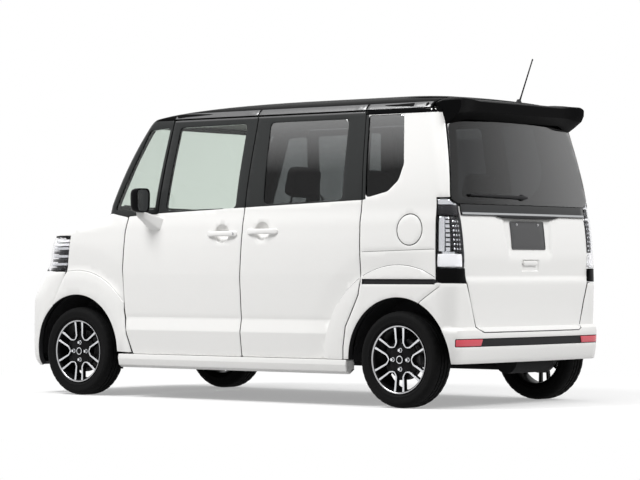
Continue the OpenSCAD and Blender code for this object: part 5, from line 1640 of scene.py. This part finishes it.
def pad(size, swell, channels=(), bolster=0.0, power=5.0, count=22):
    """A crowned pad whose top is +Z: it swells between its seams and its sides pull in."""
    steps = np.linspace(-1, 1, count + 1)
    n = count + 1
    grid = [(i * n + j, (i + 1) * n + j, (i + 1) * n + j + 1, i * n + j + 1)
            for i in range(count) for j in range(count)]
    shape = Shape()
    for axis in range(3):
        for sign in (-1, 1):
            cube = np.zeros((n, n, 3))
            cube[..., axis] = sign
            cube[..., (axis + 1) % 3], cube[..., (axis + 2) % 3] = np.meshgrid(steps, steps, indexing="ij")
            unit = cube / (np.abs(cube) ** power).sum(2, keepdims=True) ** (1 / power)
            p = unit * np.array(size) / 2
            across, along = unit[..., 1], unit[..., 0]
            crown = (1 - across ** 2) * (1 - along ** 2)
            top = np.clip(unit[..., 2], 0, 1)
            p[..., 2] += swell * (crown - 0.55) * np.abs(unit[..., 2])
            p[..., 2] += bolster * top * ease(0.55, 0.86, np.abs(across)) * (1 - along ** 8)
            for line, where, deep in channels:
                spot = across if line == "y" else along
                p[..., 2] -= deep * top * np.exp(-((np.abs(spot) - where) / 0.035) ** 2)
            p[..., 0] *= 1 - 0.018 * (1 - across ** 2)
            shape.add(p.reshape(-1, 3), grid if sign > 0 else [face[::-1] for face in grid])
    return shape


def seat_pad(name, node, place, tilt, run, rise, wide, upright, bolster, channels):
    """A pad in the place of a slab of the solid seat. An upright one faces forward."""
    long, thick = (rise, run) if upright else (run, rise)
    shape = pad((long - 12, wide - 10, thick - 12), 10, channels, bolster)
    if upright:
        shape = shape.moved(Matrix.Rotation(math.pi / 2, 4, "Y"))
    shape = shape.moved(pose(place, tilt, "Y") @ Matrix.Translation((run / 2, 0, rise / 2)))
    piece = make(name, shape, "body", "cloth", node, angle=60)


def build_seats():
    frames = Shape()
    sewn = [("x", 0.0, 5), ("x", 0.42, 4), ("y", 0.52, 6)]
    rows = [("y", 0.0, 6), ("y", 0.36, 5), ("y", 0.66, 5), ("x", 0.1, 4)]
    middle = [("x", 0.0, 3)]
    for side, y in (("left", SEAT_Y), ("right", -SEAT_Y)):
        seat_pad(f"front_cushion_{side}", "front_seats", (-120, y, 446), -4, 500, 140, 480, False, 12, sewn)
        seat_pad(f"front_back_{side}", "front_seats", (-140, y, 526), -14, 130, 620, 480, True, 12, sewn)
        seat_pad(f"front_headrest_{side}", "front_seats", (-305, y, 1166), -14, 100, 190, 250, True, 0,
                 middle)
        frames.join(rounded_box((396, 350, 180), 14, (140, y, 349)), 0)
        for rail in (-140, 140):
            frames.join(rounded_box((430, 34, 16), 5, (135, y + rail, 264)), 1)
        for post in (-70, 70):
            frames.join(lathe(HEADREST_POST, 14).moved(pose((-230, y + post, 1076), -14, "Y")), 1)
    seat_pad("rear_cushion", "rear_seat", (-930, 0, 524), -3, 470, 130, 1080, False, 8, rows)
    seat_pad("rear_back", "rear_seat", (-940, 0, 584), -16, 120, 560, 1080, True, 8, rows)
    for side, y in (("left", REAR_HEADREST_Y), ("right", -REAR_HEADREST_Y)):
        seat_pad(f"rear_headrest_{side}", "rear_seat", (-1105, y, 1154), -16, 90, 160, 240, True, 0, middle)
        for post in (-60, 60):
            frames.join(lathe(HEADREST_POST, 14).moved(pose((-1050, y + post, 1054), -16, "Y")), 1)
    frames.join(rounded_box((236, 1060, 60), 10, (-780, 0, 526)), 0)
    make("seat_frames", frames, "body", ["plastic", "steel"], angle=40)


def build_dashboard():
    profile = resample(fillet(DASHBOARD, [2, 6, 30, 45, 30, 40, 6]), 22)
    board = loft([[[x, y, z] for x, z in grow(profile, -inset)] for y, inset in DASHBOARD_RINGS])
    lean = Matrix.Rotation(math.radians(-24), 4, "Y")
    board.join(rounded_box((90, 330, 70), 22, (640, -330, 985), turn=lean), 0)
    board.join(rounded_box((14, 290, 46), 6, (596, -330, 972), turn=lean), 1)
    screen_lean = Matrix.Rotation(math.radians(-8), 4, "Y")
    board.join(rounded_box((40, 300, 190), 14, (573, 0, 880), turn=screen_lean), 1)
    for y in (-560, -150, 150, 560):
        board.join(rounded_box((30, 120, 60), 8, (585, y, 948), turn=lean), 1)
        for k in range(4):
            board.join(rounded_box((10, 108, 5), 2, (569 + 3.4 * k, y, 930 + 11 * k), turn=lean), 0)
    board.join(rounded_box((12, 440, 4), 1.5, (572, 390, 868)), 1)
    make("dashboard_skin", board, "body", ["soft_grey", "plastic"], "dashboard", angle=35)


def card_shape(x0, x1, z):
    """An armrest, a pull and a speaker on the inside of the left door."""
    middle, run = (x0 + x1) / 2, x1 - x0
    shape = Shape().join(rounded_box((run, 52, 54), 18, (middle, 662, z), segments=4), 0)
    shape.join(rounded_box((run * 0.5, 30, 30), 9, (middle + run * 0.1, 648, z + 16)), 1)
    shape.join(rounded_box((run * 0.94, 12, 90), 5, (middle, 684, z - 170)), 0)
    return shape.join(lathe(SPEAKER, 40).moved(pose((x1 - 10, 686, z - 190), 90)), 1)


def build_cards():
    make_sides("door_card", card_shape(-60, 400, 720), DOOR_BODY, ["soft_grey", "plastic"], angle=45)
    make("sliding_door_cards", card_shape(-820, -380, 720).both(), "body", ["soft_grey", "plastic"], angle=45)


def build_underside():
    ribs = Shape()
    for y in (-520, -360, -80, 80, 360, 520):
        ribs.join(rounded_box((1380, 46, 12), 5, (90, y, 230)))
    for x in (-420, 60, 540):
        ribs.join(rounded_box((40, 1180, 10), 4, (x, 0, 231)))
    make("floor_ribs", ribs, "body", "under")


def build_under_bonnet():
    cover = rounded_box((230, 390, 20), 8, (1170, -40, 858))
    for i in range(6):
        cover.join(rounded_box((200, 14, 10), 4, (1170, -190 + 60 * i, 870)))
    cover.join(lathe(OIL_CAP, 12).moved(pose((1090, 120, 866))))
    make("engine_cover", cover, "body", "plastic", angle=40)
    slats = Shape()
    for z in (1096, 1104):
        slats.join(tube(FRONT.surface(pairs(np.linspace(-560, 560, 25), z)), 2.4, 8))
    make("cowl_slats", slats, "body", "plastic", angle=60)


for build in (build_fenders, build_bonnet, build_front_bumper, build_headlamps, build_windscreen,
              build_roof, build_quarters, build_tailgate, build_tail_lamps, build_rear_bumper,
              build_load_sill, build_spoiler, build_doors, build_wheels, build_mirrors, build_handles,
              build_sills, build_wipers, build_antenna, build_plate, build_steering, build_seats,
              build_dashboard, build_cards, build_underside, build_under_bonnet):
    build()
for node, key in SHOW_CAD.items():
    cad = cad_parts[node]
    cad.data.materials.clear()
    cad.data.materials.append(materials[key][0])
